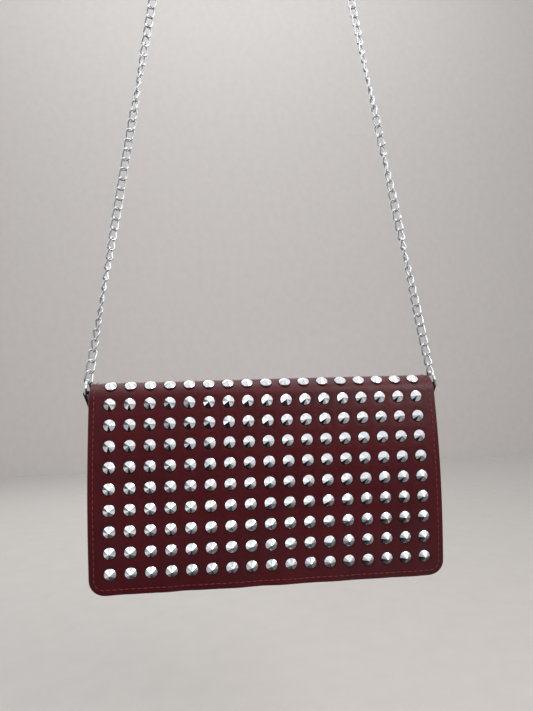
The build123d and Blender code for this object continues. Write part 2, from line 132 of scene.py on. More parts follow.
def object_coordinates(tree, per_metre):
    """Object coordinates with one pattern unit every 1/per_metre metres."""
    source = add(tree, "ShaderNodeTexCoord").outputs["Object"]
    mapping = add(tree, "ShaderNodeMapping", links={"Vector": source, "Scale": (per_metre,) * 3})
    return mapping.outputs["Vector"]


def calf_leather(name, deep, light, roughness, grain_height):
    """Finished calf: pressed fine pores, a waxy semi-gloss, and colour that pools darker in patches."""
    material, tree, shader = new_material(name)
    pores = object_coordinates(tree, 1 / (0.55 * MM))
    cells = add(tree, "ShaderNodeTexVoronoi", {"feature": "DISTANCE_TO_EDGE"},
                {"Vector": pores, "Scale": 1.0})
    fine = add(tree, "ShaderNodeTexNoise", links={"Vector": pores, "Scale": 1.6, "Detail": 4.0})
    patches = object_coordinates(tree, 1 / (28 * MM))
    cloud = add(tree, "ShaderNodeTexNoise", links={"Vector": patches, "Scale": 1.0, "Detail": 3.0})
    creases = add(tree, "ShaderNodeTexNoise", links={"Vector": patches, "Scale": 5.0, "Detail": 5.0,
                                                    "Distortion": 0.6})
    colour = ramp(tree, cloud.outputs["Fac"], [(0.1, linear(deep)), (0.95, linear(light))])
    pore_shade = ramp(tree, cells.outputs["Distance"], [(0.0, grey(0.72)), (0.16, grey(1.0))])
    tint = add(tree, "ShaderNodeMix", {"data_type": "RGBA", "blend_type": "MULTIPLY"},
               {"Factor": 0.7, "A": colour, "B": pore_shade})
    tree.links.new(tint.outputs["Result"], shader.inputs["Base Color"])
    gloss = add(tree, "ShaderNodeMapRange", links={"Value": creases.outputs["Fac"], "From Min": 0.3,
                                                  "From Max": 0.7, "To Min": roughness - 0.06,
                                                  "To Max": roughness + 0.09})
    tree.links.new(gloss.outputs["Result"], shader.inputs["Roughness"])
    first = add(tree, "ShaderNodeBump", links={"Strength": 0.35, "Distance": grain_height,
                                              "Height": cells.outputs["Distance"]})
    second = add(tree, "ShaderNodeBump", links={"Strength": 0.3, "Distance": grain_height,
                                               "Height": fine.outputs["Fac"],
                                               "Normal": first.outputs["Normal"]})
    third = add(tree, "ShaderNodeBump", links={"Strength": 0.35, "Distance": 0.5 * MM,
                                              "Height": creases.outputs["Fac"],
                                              "Normal": second.outputs["Normal"]})
    tree.links.new(third.outputs["Normal"], shader.inputs["Normal"])
    shader.inputs["Specular IOR Level"].default_value = 0.22
    shader.inputs["Coat Weight"].default_value = 0.07
    shader.inputs["Coat Roughness"].default_value = 0.3
    shader.inputs["Sheen Weight"].default_value = 0.03
    shader.inputs["Sheen Roughness"].default_value = 0.4
    shader.inputs["Sheen Tint"].default_value = linear("#d9a3ad")
    return material


def edge_paint():
    """Acrylic edge paint: a thick black bead, brushed on, slightly uneven."""
    material, tree, shader = new_material("black_edge_paint")
    vector = object_coordinates(tree, 1 / (3 * MM))
    wave = add(tree, "ShaderNodeTexNoise", links={"Vector": vector, "Scale": 1.0, "Detail": 2.0})
    colour = ramp(tree, wave.outputs["Fac"], [(0.35, linear("#0c0a0b")), (0.7, linear("#1b1416"))])
    tree.links.new(colour, shader.inputs["Base Color"])
    bump = add(tree, "ShaderNodeBump", links={"Strength": 0.25, "Distance": 0.2 * MM,
                                             "Height": wave.outputs["Fac"]})
    tree.links.new(bump.outputs["Normal"], shader.inputs["Normal"])
    shader.inputs["Roughness"].default_value = 0.38
    return material


def bonded_thread(name, hex_colour):
    """Bonded polyester thread: plies that twist every 0.9 mm give a fine slanting rib and a soft shine."""
    material, tree, shader = new_material(name)
    vector = object_coordinates(tree, 1 / (0.9 * MM))
    plies = add(tree, "ShaderNodeTexWave", {"bands_direction": "DIAGONAL"},
                {"Vector": vector, "Scale": 1.0, "Distortion": 0.6})
    dark = tuple(c * 0.55 for c in linear(hex_colour)[:3]) + (1.0,)
    colour = ramp(tree, plies.outputs["Fac"], [(0.2, dark), (0.8, linear(hex_colour))])
    tree.links.new(colour, shader.inputs["Base Color"])
    bump = add(tree, "ShaderNodeBump", links={"Strength": 0.5, "Distance": 0.1 * MM,
                                             "Height": plies.outputs["Fac"]})
    tree.links.new(bump.outputs["Normal"], shader.inputs["Normal"])
    shader.inputs["Roughness"].default_value = 0.5
    return material


def woven(name, hex_colour, thread_width, roughness):
    """Woven cloth: warp and weft ribs one thread apart, matt, with small changes of shade."""
    material, tree, shader = new_material(name)
    vector = object_coordinates(tree, 1 / (thread_width * 2))
    warp = add(tree, "ShaderNodeTexWave", {"bands_direction": "DIAGONAL"},
               {"Vector": vector, "Scale": 1.0, "Distortion": 0.2})
    weft = add(tree, "ShaderNodeTexWave", {"bands_direction": "Z"}, {"Vector": vector, "Scale": 1.0})
    cross = add(tree, "ShaderNodeMath", {"operation": "MULTIPLY"})
    tree.links.new(warp.outputs["Fac"], cross.inputs[0])
    tree.links.new(weft.outputs["Fac"], cross.inputs[1])
    dark = tuple(c * 0.5 for c in linear(hex_colour)[:3]) + (1.0,)
    colour = ramp(tree, cross.outputs["Value"], [(0.1, dark), (0.8, linear(hex_colour))])
    tree.links.new(colour, shader.inputs["Base Color"])
    bump = add(tree, "ShaderNodeBump", links={"Strength": 0.4, "Distance": 0.1 * MM,
                                             "Height": cross.outputs["Value"]})
    tree.links.new(bump.outputs["Normal"], shader.inputs["Normal"])
    shader.inputs["Roughness"].default_value = roughness
    shader.inputs["Sheen Weight"].default_value = 0.25
    return material


def plated(name, hex_colour, roughness, wear):
    """Bright nickel plate: mirror-like, with hairlines and faint handling haze that soften it in places."""
    material, tree, shader = new_material(name)
    shader.inputs["Base Color"].default_value = linear(hex_colour)
    shader.inputs["Metallic"].default_value = 1.0
    vector = object_coordinates(tree, 1 / (1.5 * MM))
    haze = add(tree, "ShaderNodeTexNoise", links={"Vector": vector, "Scale": 1.0, "Detail": 5.0})
    polish = add(tree, "ShaderNodeMapRange", links={"Value": haze.outputs["Fac"], "From Min": 0.35,
                                                   "From Max": 0.75, "To Min": roughness,
                                                   "To Max": roughness + wear})
    tree.links.new(polish.outputs["Result"], shader.inputs["Roughness"])
    bump = add(tree, "ShaderNodeBump", links={"Strength": 0.12, "Distance": 0.05 * MM,
                                             "Height": haze.outputs["Fac"]})
    tree.links.new(bump.outputs["Normal"], shader.inputs["Normal"])
    return material


CALF = calf_leather("burgundy_calf", "#370209", "#4f0612", 0.42, 0.16 * MM)
SPLIT_LEATHER = calf_leather("burgundy_split_leather", "#34060f", "#470c19", 0.55, 0.12 * MM)
# Near-black leather for the rings round the studs: painted shade standing in for each stud's contact shadow.
PAINTED_STUD_SHADOW = calf_leather("painted_stud_shadow_calf", "#120206", "#1c0408", 0.5, 0.1 * MM)
EDGE_PAINT = edge_paint()
TONAL_THREAD = bonded_thread("tonal_polyester_thread", "#7d2233")
LINING_TWILL = woven("black_cotton_twill", "#1d1719", 0.35 * MM, 0.85)
ZIP_TAPE = woven("black_polyester_tape", "#141012", 0.3 * MM, 0.75)
STUD_NICKEL = plated("nickel_plated_pressed_stud", "#d7d9de", 0.07, 0.1)
CHAIN_NICKEL = plated("polished_nickel_chain", "#b9bbc0", 0.07, 0.1)
ZIP_NICKEL = plated("nickel_zip_metal", "#c6c7cb", 0.18, 0.15)
SNAP_STEEL = plated("plated_snap_steel", "#b9babd", 0.22, 0.15)


# ---------------------------------------------------------------- mesh helpers
def new_piece(name, vertices, faces, materials, face_materials=None, smooth_angle=35):
    """Mesh object with merged seams, outward normals, and edges kept sharp above an angle."""
    mesh = bpy.data.meshes.new(name)
    mesh.from_pydata([tuple(v) for v in vertices], [], faces)
    for material in materials:
        mesh.materials.append(material)
    if face_materials:
        mesh.polygons.foreach_set("material_index", face_materials)
    work = bmesh.new()
    work.from_mesh(mesh)
    bmesh.ops.remove_doubles(work, verts=work.verts, dist=1e-6)
    bmesh.ops.recalc_face_normals(work, faces=work.faces)
    for face in work.faces:
        face.smooth = True
    for edge in work.edges:
        edge.smooth = len(edge.link_faces) < 2 or edge.calc_face_angle(0) < math.radians(smooth_angle)
    work.to_mesh(mesh)
    work.free()
    piece = bpy.data.objects.new(name, mesh)
    bpy.context.scene.collection.objects.link(piece)
    return piece


def finish_piece(piece, body, nodes=()):
    """Ride a body and stand for CAD nodes."""
    if body:
        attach(piece, body)
    if nodes:
        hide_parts(*nodes)
    return piece


def skin_angle(s):
    """Elevation of the leather's outward normal above -Y, s metres up from the flap's lower edge."""
    if s <= BOW_LENGTH:
        return s / BOW_RADIUS - BOW
    if s <= FOLD_END:
        return BOW + (s - BOW_LENGTH) / FOLD_RADIUS
    if s <= TOP_END:
        return math.pi / 2
    return min(math.pi, math.pi / 2 + (s - TOP_END) / FOLD_RADIUS)


def skin_normal(s):
    angle = skin_angle(s)
    return Vector((0, -math.cos(angle), math.sin(angle)))


def skin_point(x, s, depth):
    """Point on the outer leather's section, depth metres under its outer face."""
    angle = skin_angle(s)
    if s <= BOW_LENGTH:
        y, z, radius = BOW_CENTRE_Y, BOW_CENTRE_Z, BOW_RADIUS
    elif s <= FOLD_END:
        y, z, radius = FRONT_FOLD_Y, FOLD_Z, FOLD_RADIUS
    elif s <= TOP_END:
        y, z, radius = FRONT_FOLD_Y + s - FOLD_END, FOLD_Z, FOLD_RADIUS
    else:
        y, z, radius = BACK_FOLD_Y, FOLD_Z - max(0.0, s - SPINE_END), FOLD_RADIUS
    reach = radius - depth
    return Vector((x, y - reach * math.cos(angle), z + reach * math.sin(angle)))


def stud_row_s(row):
    return STUD_MARGIN + (STUD_ROWS - 1 - row) * STUD_PITCH_Z


def stud_shadow_ring_template():
    """Dark leather ring round each stud: painted shade standing in for the stud's contact shadow on the
    leather.
    """
    segments = 20
    rings = [(STUD_RADIUS - 0.5 * MM, 0.1 * MM), (STUD_RADIUS + 0.1 * MM, 0.12 * MM),
             (STUD_RADIUS + 0.45 * MM, 0.02 * MM), (STUD_RADIUS + 0.5 * MM, -0.15 * MM),
             (STUD_RADIUS - 0.5 * MM, -0.15 * MM)]
    turns = [2 * math.pi * i / segments for i in range(segments)]
    vertices = [(radius * math.cos(turn), radius * math.sin(turn), z)
                for radius, z in rings for turn in turns]
    faces = []
    for j in range(len(rings)):
        for i in range(segments):
            a, b = j * segments + i, j * segments + (i + 1) % segments
            below = (j + 1) % len(rings) * segments
            faces.append([a, b, below + (i + 1) % segments, below + i])
    return template_from("punch_ring", vertices, faces, 60)


def stud_dent(x, s):
    """How far a stud pulls the leather down at a place; it swells a little halfway between studs."""
    column = round(x / STUD_PITCH_X)
    row = round((s - STUD_MARGIN) / STUD_PITCH_Z)
    if abs(column) > STUD_COLUMNS // 2 or not 0 <= row < STUD_ROWS:
        return 0.0
    distance = math.hypot(x - column * STUD_PITCH_X, s - STUD_MARGIN - row * STUD_PITCH_Z)
    return 0.28 * MM * math.exp(-(distance / (4.1 * MM)) ** 4)


def flap_wave(x, s):
    """Soft unevenness of worn leather, strongest along the flap's free edge."""
    if s > FLAP_HINGE:
        return 0.0
    edge = max(0.0, 1 - s / (26 * MM))
    long_wave = noise.noise(Vector((x * 22, s * 18, 3.1)))
    short_wave = noise.noise(Vector((x * 75, s * 20, 8.4)))
    fade = min(1.0, (FLAP_HINGE - s) / (20 * MM))
    return fade * (0.35 * MM * long_wave + edge * edge * 0.9 * MM * short_wave)


def rounded_half(s, start, end, half, radius_start, radius_end):
    """Half width of a sheet whose corners are rounded at its two ends."""
    for distance, radius in ((s - start, radius_start), (end - s, radius_end)):
        if distance < radius:
            return half - radius + math.sqrt(max(0.0, radius ** 2 - (radius - distance) ** 2))
    return half


def stops_between(start, end, step, radius_start, radius_end):
    """Places along a sheet, closer together where its corners are rounded."""
    places = []
    for i in range(9):
        if radius_start:
            places.append(start + radius_start * (1 - math.cos(math.pi / 2 * i / 8)))
        if radius_end:
            places.append(end - radius_end * (1 - math.cos(math.pi / 2 * i / 8)))
    low = start + radius_start
    high = end - radius_end
    count = max(1, round((high - low) / step))
    places += [low + (high - low) * i / count for i in range(count + 1)]
    return sorted({round(p, 7) for p in places})


def grid_rim(first, rows, columns):
    """Vertices round the outside of a grid of rows and columns, in order."""
    across = columns + 1
    return ([first + i for i in range(across)]
            + [first + j * across + columns for j in range(1, rows + 1)]
            + [first + rows * across + i for i in range(columns - 1, -1, -1)]
            + [first + j * across for j in range(rows - 1, 0, -1)])


def skin_sheet(name, start, end, outer, inner, half, radii, steps, materials, relief):
    """Closed sheet that follows the wallet's section: outer face, inner face and a rounded edge bead."""
    rows = stops_between(start, end, steps[1], *radii)
    columns = round(2 * half / steps[0])
    vertices = []
    faces = []
    finishes = []

    def layer(depth_at):
        first = len(vertices)
        for s in rows:
            width = rounded_half(s, start, end, half, *radii)
            for i in range(columns + 1):
                x = width * (2 * i / columns - 1)
                vertices.append(skin_point(x, s, depth_at(s) + relief(x, s)))
        return first

    def grid(first, finish, flip):
        for j in range(len(rows) - 1):
            for i in range(columns):
                a = first + j * (columns + 1) + i
                quad = [a, a + 1, a + columns + 2, a + columns + 1]
                faces.append(quad[::-1] if flip else quad)
                finishes.append(finish)

    top = layer(outer)
    bottom = layer(inner)
    grid(top, 0, False)
    grid(bottom, 1, True)
    top_rim = grid_rim(top, len(rows) - 1, columns)
    bottom_rim = grid_rim(bottom, len(rows) - 1, columns)
    count = len(top_rim)
    rings = [top_rim]
    bead_steps = 4
    for k in range(1, bead_steps):
        share = k / bead_steps
        ring = []
        for i in range(count):
            upper, lower = vertices[top_rim[i]], vertices[bottom_rim[i]]
            along = vertices[top_rim[(i + 1) % count]] - vertices[top_rim[i - 1]]
            outward = along.cross(upper - lower)
            bulge = (upper - lower).length * 0.35 * math.sin(math.pi * share)
            direction = outward.normalized() if outward.length > 1e-12 else Vector((0, 0, 0))
            ring.append(len(vertices))
            vertices.append(upper.lerp(lower, share) + direction * bulge)
        rings.append(ring)
    rings.append(bottom_rim)
    for ring, below in zip(rings, rings[1:]):
        for i in range(count):
            faces.append([ring[i], ring[(i + 1) % count], below[(i + 1) % count], below[i]])
            finishes.append(2)
    return new_piece(name, vertices, faces, materials, finishes)


def rounded_board(name, low, high, radius, materials, edge_finish=1):
    """Flat panel with rounded long edges; its narrow faces take the second finish."""
    work = bmesh.new()
    bmesh.ops.create_cube(work, size=1)
    size = Vector(high) - Vector(low)
    centre = (Vector(high) + Vector(low)) / 2
    for vertex in work.verts:
        vertex.co = centre + Vector([vertex.co[i] * size[i] for i in range(3)])
    thin = min(range(3), key=lambda i: size[i])
    bmesh.ops.bevel(work, geom=list(work.edges), offset=min(radius, 0.45 * size[thin]), segments=3,
                    profile=0.5, affect="EDGES")
    mesh = bpy.data.meshes.new(name)
    for face in work.faces:
        face.material_index = 0 if abs(face.normal[thin]) > 0.9 else edge_finish
        face.smooth = True
    for edge in work.edges:
        edge.smooth = edge.calc_face_angle(0) < math.radians(35)
    work.to_mesh(mesh)
    work.free()
    for material in materials:
        mesh.materials.append(material)
    piece = bpy.data.objects.new(name, mesh)
    bpy.context.scene.collection.objects.link(piece)
    return piece


def joined(name, pieces):
    """One piece from several, with their finishes kept."""
    materials = []
    vertices = []
    faces = []
    finishes = []
    for piece in pieces:
        first = len(vertices)
        vertices += [v.co.copy() for v in piece.data.vertices]
        slots = []
        for material in piece.data.materials:
            if material not in materials:
                materials.append(material)
            slots.append(materials.index(material))
        for polygon in piece.data.polygons:
            faces.append([first + v for v in polygon.vertices])
            finishes.append(slots[polygon.material_index])
        bpy.data.objects.remove(piece)
    return new_piece(name, vertices, faces, materials, finishes)


def lathe(name, profile, origin, axis, materials, segments=48):
    """Turned piece: profile is (radius, height) pairs along the axis, closed at both ends on it."""
    axis = Vector(axis).normalized()
    side = axis.orthogonal().normalized()
    other = axis.cross(side)
    vertices = []
    faces = []
    for radius, height in profile:
        for i in range(segments):
            angle = 2 * math.pi * i / segments
            reach = side * math.cos(angle) + other * math.sin(angle)
            vertices.append(Vector(origin) + axis * height + reach * radius)
    for j in range(len(profile) - 1):
        for i in range(segments):
            a = j * segments + i
            b = j * segments + (i + 1) % segments
            faces.append([a, b, b + segments, a + segments])
    return new_piece(name, vertices, faces, materials, smooth_angle=30)


# ---------------------------------------------------------------- repeated pieces by Geometry Nodes
def scatter_tree():
    """Node tree that sets a copy of a template at each point, turned by the point's two stored directions."""
    tree = bpy.data.node_groups.new("set_out_copies", "GeometryNodeTree")
    interface = tree.interface
    interface.new_socket("Geometry", in_out="INPUT", socket_type="NodeSocketGeometry")
    interface.new_socket("Template", in_out="INPUT", socket_type="NodeSocketObject")
    interface.new_socket("Size", in_out="INPUT", socket_type="NodeSocketFloat")
    interface.new_socket("Finish", in_out="INPUT", socket_type="NodeSocketMaterial")
    interface.new_socket("Geometry", in_out="OUTPUT", socket_type="NodeSocketGeometry")
    given = add(tree, "NodeGroupInput")
    template = add(tree, "GeometryNodeObjectInfo", links={"Object": given.outputs["Template"]})
    facing = add(tree, "GeometryNodeInputNamedAttribute", {"data_type": "FLOAT_VECTOR"}, {"Name": "facing"})
    along = add(tree, "GeometryNodeInputNamedAttribute", {"data_type": "FLOAT_VECTOR"}, {"Name": "along"})
    turn = add(tree, "FunctionNodeAxesToRotation", {"primary_axis": "Z", "secondary_axis": "X"},
               {"Primary Axis": facing.outputs["Attribute"], "Secondary Axis": along.outputs["Attribute"]})
    copies = add(tree, "GeometryNodeInstanceOnPoints", links={
        "Points": given.outputs["Geometry"], "Instance": template.outputs["Geometry"],
        "Rotation": turn.outputs["Rotation"], "Scale": given.outputs["Size"]})
    real = add(tree, "GeometryNodeRealizeInstances", links={"Geometry": copies.outputs["Instances"]})
    finish = add(tree, "GeometryNodeSetMaterial", links={"Geometry": real.outputs["Geometry"],
                                                        "Material": given.outputs["Finish"]})
    result = add(tree, "NodeGroupOutput")
    tree.links.new(finish.outputs["Geometry"], result.inputs["Geometry"])
    return tree


SCATTER = scatter_tree()


def set_out(name, places, template, material, size=1.0):
    """Copies of a template at (point, facing, along) places, as one plain mesh."""
    mesh = bpy.data.meshes.new(name + "_places")
    mesh.from_pydata([tuple(p) for p, _, _ in places], [], [])
    for key, index in (("facing", 1), ("along", 2)):
        attribute = mesh.attributes.new(key, "FLOAT_VECTOR", "POINT")
        attribute.data.foreach_set("vector", [c for place in places for c in place[index]])
    holder = bpy.data.objects.new(name + "_places", mesh)
    bpy.context.scene.collection.objects.link(holder)
    modifier = holder.modifiers.new("set_out", "NODES")
    modifier.node_group = SCATTER
    sockets = {item.name: item.identifier for item in SCATTER.interface.items_tree
               if item.in_out == "INPUT"}
    modifier[sockets["Template"]] = template
    modifier[sockets["Size"]] = size
    modifier[sockets["Finish"]] = material
    graph = bpy.context.evaluated_depsgraph_get()
    result = bpy.data.meshes.new_from_object(holder.evaluated_get(graph))
    result.name = name
    for key in ("facing", "along"):
        if key in result.attributes:
            result.attributes.remove(result.attributes[key])
    bpy.data.objects.remove(holder)
    piece = bpy.data.objects.new(name, result)
    bpy.context.scene.collection.objects.link(piece)
    return piece


def template_from(name, vertices, faces, smooth_angle):
    """Shape that is copied; it is removed once its copies are made."""
    return new_piece(name, vertices, faces, [], smooth_angle=smooth_angle)


def discard(*templates):
    for template in templates:
        bpy.data.objects.remove(template)


# ---------------------------------------------------------------- outer leather
def leather_relief(x, s):
    return stud_dent(x, s) + flap_wave(x, s)


def make_outer_leather():
    """Flap and spine as one sheet bent over the fold, and the back as another that meets it on top."""
    finishes = [CALF, SPLIT_LEATHER, EDGE_PAINT]
    half = HALF_WIDTH - 0.4 * MM
    flap = skin_sheet("flap_and_spine_leather", 0, TOP_END, lambda s: 0.0, lambda s: LEATHER, half,
                      (CORNER, 0), (1.2 * MM, 1.15 * MM), finishes, leather_relief)
    blend_flap(flap)
    finish_piece(flap, None, ("flap_leather", "spine_leather"))
    back = skin_sheet("back_leather", TOP_END, SKIN_END, lambda s: 0.0, lambda s: LEATHER, half,
                      (0, CORNER), (3.0 * MM, 1.6 * MM), finishes, lambda x, s: 0.0)
    finish_piece(back, "wallet", ("back_panel",))


def blend_flap(piece):
    """Bake a piece's placement into its mesh."""
    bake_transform(piece)


def make_lining():
    """Black twill under the leather, from the flap's edge over the top and down inside the back."""
    inset = 1.2 * MM

    def inner(s):
        share = min(1.0, max(0.0, (s - FLAP_HINGE) / (SPINE_END - FLAP_HINGE)))
        return (2.5 - 0.8 * share) * MM

    finishes = [LINING_TWILL, LINING_TWILL, EDGE_PAINT]
    flap = skin_sheet("flap_and_spine_lining", inset, TOP_END, lambda s: LEATHER + 0.02 * MM, inner,
                      HALF_WIDTH - inset, (CORNER - inset, 0), (3.0 * MM, 1.3 * MM), finishes,
                      lambda x, s: flap_wave(x, s))
    blend_flap(flap)
    finish_piece(flap, None, ("flap_lining", "flap_stiffener", "spine_lining"))
    back = skin_sheet("back_lining_cloth", TOP_END, SKIN_END - 2 * MM, lambda s: LEATHER + 0.02 * MM, inner,
                      HALF_WIDTH - inset, (0, CORNER), (3.0 * MM, 3.0 * MM), finishes, lambda x, s: 0.0)
    finish_piece(back, "wallet", ("back_lining",))


# ---------------------------------------------------------------- stitching
STITCH_PITCH = 3.5 * MM
STITCH_INSET = 3.1 * MM


def stitch_template():
    """One stitch: a short plump thread that dips into the leather at both ends."""
    length = 2.7 * MM
    radius = 0.28 * MM
    sides = 6
    vertices = []
    faces = []
    sections = 6
    for j in range(sections + 1):
        share = j / sections
        swell = math.sin(math.pi * min(max(share, 0.08), 0.92)) ** 0.4
        lift = 0.16 * MM * math.sin(math.pi * share) - 0.06 * MM
        for i in range(sides):
            angle = 2 * math.pi * i / sides
            vertices.append(((share - 0.5) * length, radius * swell * math.cos(angle),
                             lift + radius * swell * math.sin(angle)))
    for j in range(sections):
        for i in range(sides):
            a = j * sides + i
            b = j * sides + (i + 1) % sides
            faces.append([a, b, b + sides, a + sides])
    faces.append(list(range(sides))[::-1])
    faces.append([sections * sides + i for i in range(sides)])
    return template_from("stitch", vertices, faces, 80)


def border_places(start, end, half, radius):
    """Evenly spaced places along a U that runs down one side, round the lower edge and up the other."""
    inset = STITCH_INSET
    r = radius - inset
    side = end - start - radius
    corner = r * math.pi / 2
    bottom = 2 * (half - radius)
    total = 2 * side + 2 * corner + bottom
    count = round(total / STITCH_PITCH)
    edge = half - inset
    places = []
    for k in range(count):
        d = (k + 0.5) * total / count
        mirrored = d > total / 2
        d = total - d if mirrored else d
        if d < side:
            x, s, turn = -edge, end - d, math.pi / 2
        elif d < side + corner:
            angle = (d - side) / r
            x = -edge + r * (1 - math.cos(angle))
            s = start + inset + r * (1 - math.sin(angle))
            turn = math.pi / 2 - angle
        else:
            x, s, turn = -edge + r + d - side - corner, start + inset, 0.0
        places.append((-x if mirrored else x, s, -turn if mirrored else turn))
    return places


def skin_place(x, s, turn, relief):
    """Point on the skin with its outward and along-the-seam directions."""
    normal = skin_normal(s)
    up = Vector((0, normal.z, -normal.y))
    if up.z < 0:
        up.negate()
    along = Vector((math.cos(turn), 0, 0)) - up * math.sin(turn)
    return skin_point(x, s, relief(x, s)), normal, along


def make_stitching(stitch):
    """Tonal seam round the flap and up the spine, and the same round the back."""
    flap_line = border_places(0, TOP_END, HALF_WIDTH, CORNER)
    places = [skin_place(x, s, turn, leather_relief) for x, s, turn in flap_line]
    seam = set_out("flap_stitching", places, stitch, TONAL_THREAD)
    blend_flap(seam)
    finish_piece(seam, None)
    back_line = border_places(0, SKIN_END - TOP_END, HALF_WIDTH, CORNER)
    places = [skin_place(x, SKIN_END - s, -turn, lambda x, s: 0.0) for x, s, turn in back_line]
    finish_piece(set_out("back_stitching", places, stitch, TONAL_THREAD), "wallet")


# ---------------------------------------------------------------- studs
def stud_template():
    """Diamond-cut cone stud: a thin round rim, then ten flat facets that meet at a blunt tip."""
    facets = 10
    segments = 2 * facets
    rim = 0.42 * MM
    rings = [(STUD_RADIUS - 0.5 * MM, -0.3 * MM), (STUD_RADIUS - 0.35 * MM, 0.12 * MM),
             (STUD_RADIUS, rim * 0.6), (STUD_RADIUS - 0.1 * MM, rim)]
    vertices = []
    faces = []
    for radius, z in rings:
        for i in range(segments):
            angle = 2 * math.pi * i / segments
            vertices.append((radius * math.cos(angle), radius * math.sin(angle), z))
    for j in range(len(rings) - 1):
        for i in range(segments):
            a = j * segments + i
            b = j * segments + (i + 1) % segments
            faces.append([a, b, b + segments, a + segments])
    base = (len(rings) - 1) * segments
    tip = len(vertices)
    tip_radius = 0.22 * MM
    for i in range(facets):
        angle = 2 * math.pi * (i + 0.5) / facets
        vertices.append((tip_radius * math.cos(angle), tip_radius * math.sin(angle), STUD_HEIGHT))
    for i in range(facets):
        a = base + 2 * i
        ahead = tip + i
        behind = tip + (i - 1) % facets
        faces.append([base + (2 * i - 1) % segments, a, base + 2 * i + 1, ahead, behind])
    faces.append([tip + i for i in range(facets)])
    return template_from("stud", vertices, faces, 12)


def make_studs():
    """Every row of the flap as one piece, and the row on the fold as another."""
    stud = stud_template()

    def places(rows):
        result = []
        for row in rows:
            s = stud_row_s(row)
            for column in range(STUD_COLUMNS):
                x = (column - (STUD_COLUMNS - 1) / 2) * STUD_PITCH_X
                spin = math.radians(18) + 0.06 * math.sin(2.4 * column + 1.7 * row)
                normal = skin_normal(s)
                up = Vector((0, normal.z, -normal.y))
                along = Vector((1, 0, 0)) * math.cos(spin) + up * math.sin(spin)
                lift = flap_wave(x, s) - 0.02 * MM
                result.append((skin_point(x, s, lift + 0.1 * MM), normal, along))
        return result

    flap_rows = range(1, STUD_ROWS)
    for row in flap_rows:
        piece = set_out(f"stud_row_{row}", places([row]), stud, STUD_NICKEL)
        finish_piece(piece, "flap", (f"studs_row_{row}",))
    piece = set_out("stud_row_0", places([0]), stud, STUD_NICKEL)
    finish_piece(piece, "wallet", ("studs_row_0",))
    # Dark rings round the studs: painted shade for their contact shadow.
    ring = stud_shadow_ring_template()
    flap_places = places(flap_rows)
    finish_piece(set_out("flap_punch_rings", flap_places, ring, PAINTED_STUD_SHADOW), "flap")
    finish_piece(set_out("spine_punch_rings", places([0]), ring, PAINTED_STUD_SHADOW), "wallet")
    discard(stud, ring)


# ---------------------------------------------------------------- strap
RING_X = (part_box("d_ring_right")[0].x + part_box("d_ring_right")[1].x) / 2
LEAN = math.radians(9.534)
CROWN_RADIUS = 24 * MM
LINK_COUNT = 168
LINK_WIRE = 1.25 * MM
LINK_GAP = 0.2 * MM
LINK_HALF_WIDTH = 2.2 * MM
LINK_HALF_TWIST = 1.3 * MM
LINK_BEND = 1.9 * MM
RUN_LENGTH = (RING_X - CROWN_RADIUS * math.cos(LEAN)) / math.sin(LEAN)
CROWN_LENGTH = CROWN_RADIUS * (math.pi - 2 * LEAN)
LINK_PITCH = (2 * RUN_LENGTH + CROWN_LENGTH - LINK_WIRE - LINK_GAP) / LINK_COUNT
LINK_HALF_LENGTH = (LINK_PITCH + LINK_WIRE + LINK_GAP) / 2
END_TURN = math.degrees(math.atan2(LINK_HALF_TWIST, LINK_HALF_WIDTH))
# Twist in degrees at links counted from the left ring, as in the CAD strap.
TWIST = (
    (0, END_TURN), (3, -38), (15, -140), (26, -195), (30, -275), (39, -360), (43, -360), (76, -900),
    (79, -900), (82, -960), (85, -990), (88, -1020), (90, -1080), (92, -1080), (124, -1620), (128, -1620),
    (139.5, -1710), (146.6, -1890), (156.7, -2070), (LINK_COUNT - 1, -2160 - END_TURN),
)


def twist_at(index):
    for (low, low_turn), (high, high_turn) in zip(TWIST, TWIST[1:]):
        if index <= high:
            return math.radians(low_turn + (high_turn - low_turn) * (index - low) / (high - low))
    return math.radians(TWIST[-1][1])


def strap_place(index):
    """Centre of a link, the direction along the strap and the link's own sideways direction."""
    distance = LINK_HALF_LENGTH + index * LINK_PITCH
    angle = LEAN + min(max(distance - RUN_LENGTH, 0.0), CROWN_LENGTH) / CROWN_RADIUS
    beyond = min(distance - RUN_LENGTH, 0.0) + max(distance - RUN_LENGTH - CROWN_LENGTH, 0.0)
    along = Vector((math.sin(angle), 0, math.cos(angle)))
    centre = Vector((-math.cos(angle), 0, math.sin(angle))) * CROWN_RADIUS + along * beyond
    across = Vector((0, 1, 0)).cross(along)
    depth = along.cross(across)
    turn = twist_at(index)
    return centre, along, across * math.cos(turn) + depth * math.sin(turn)


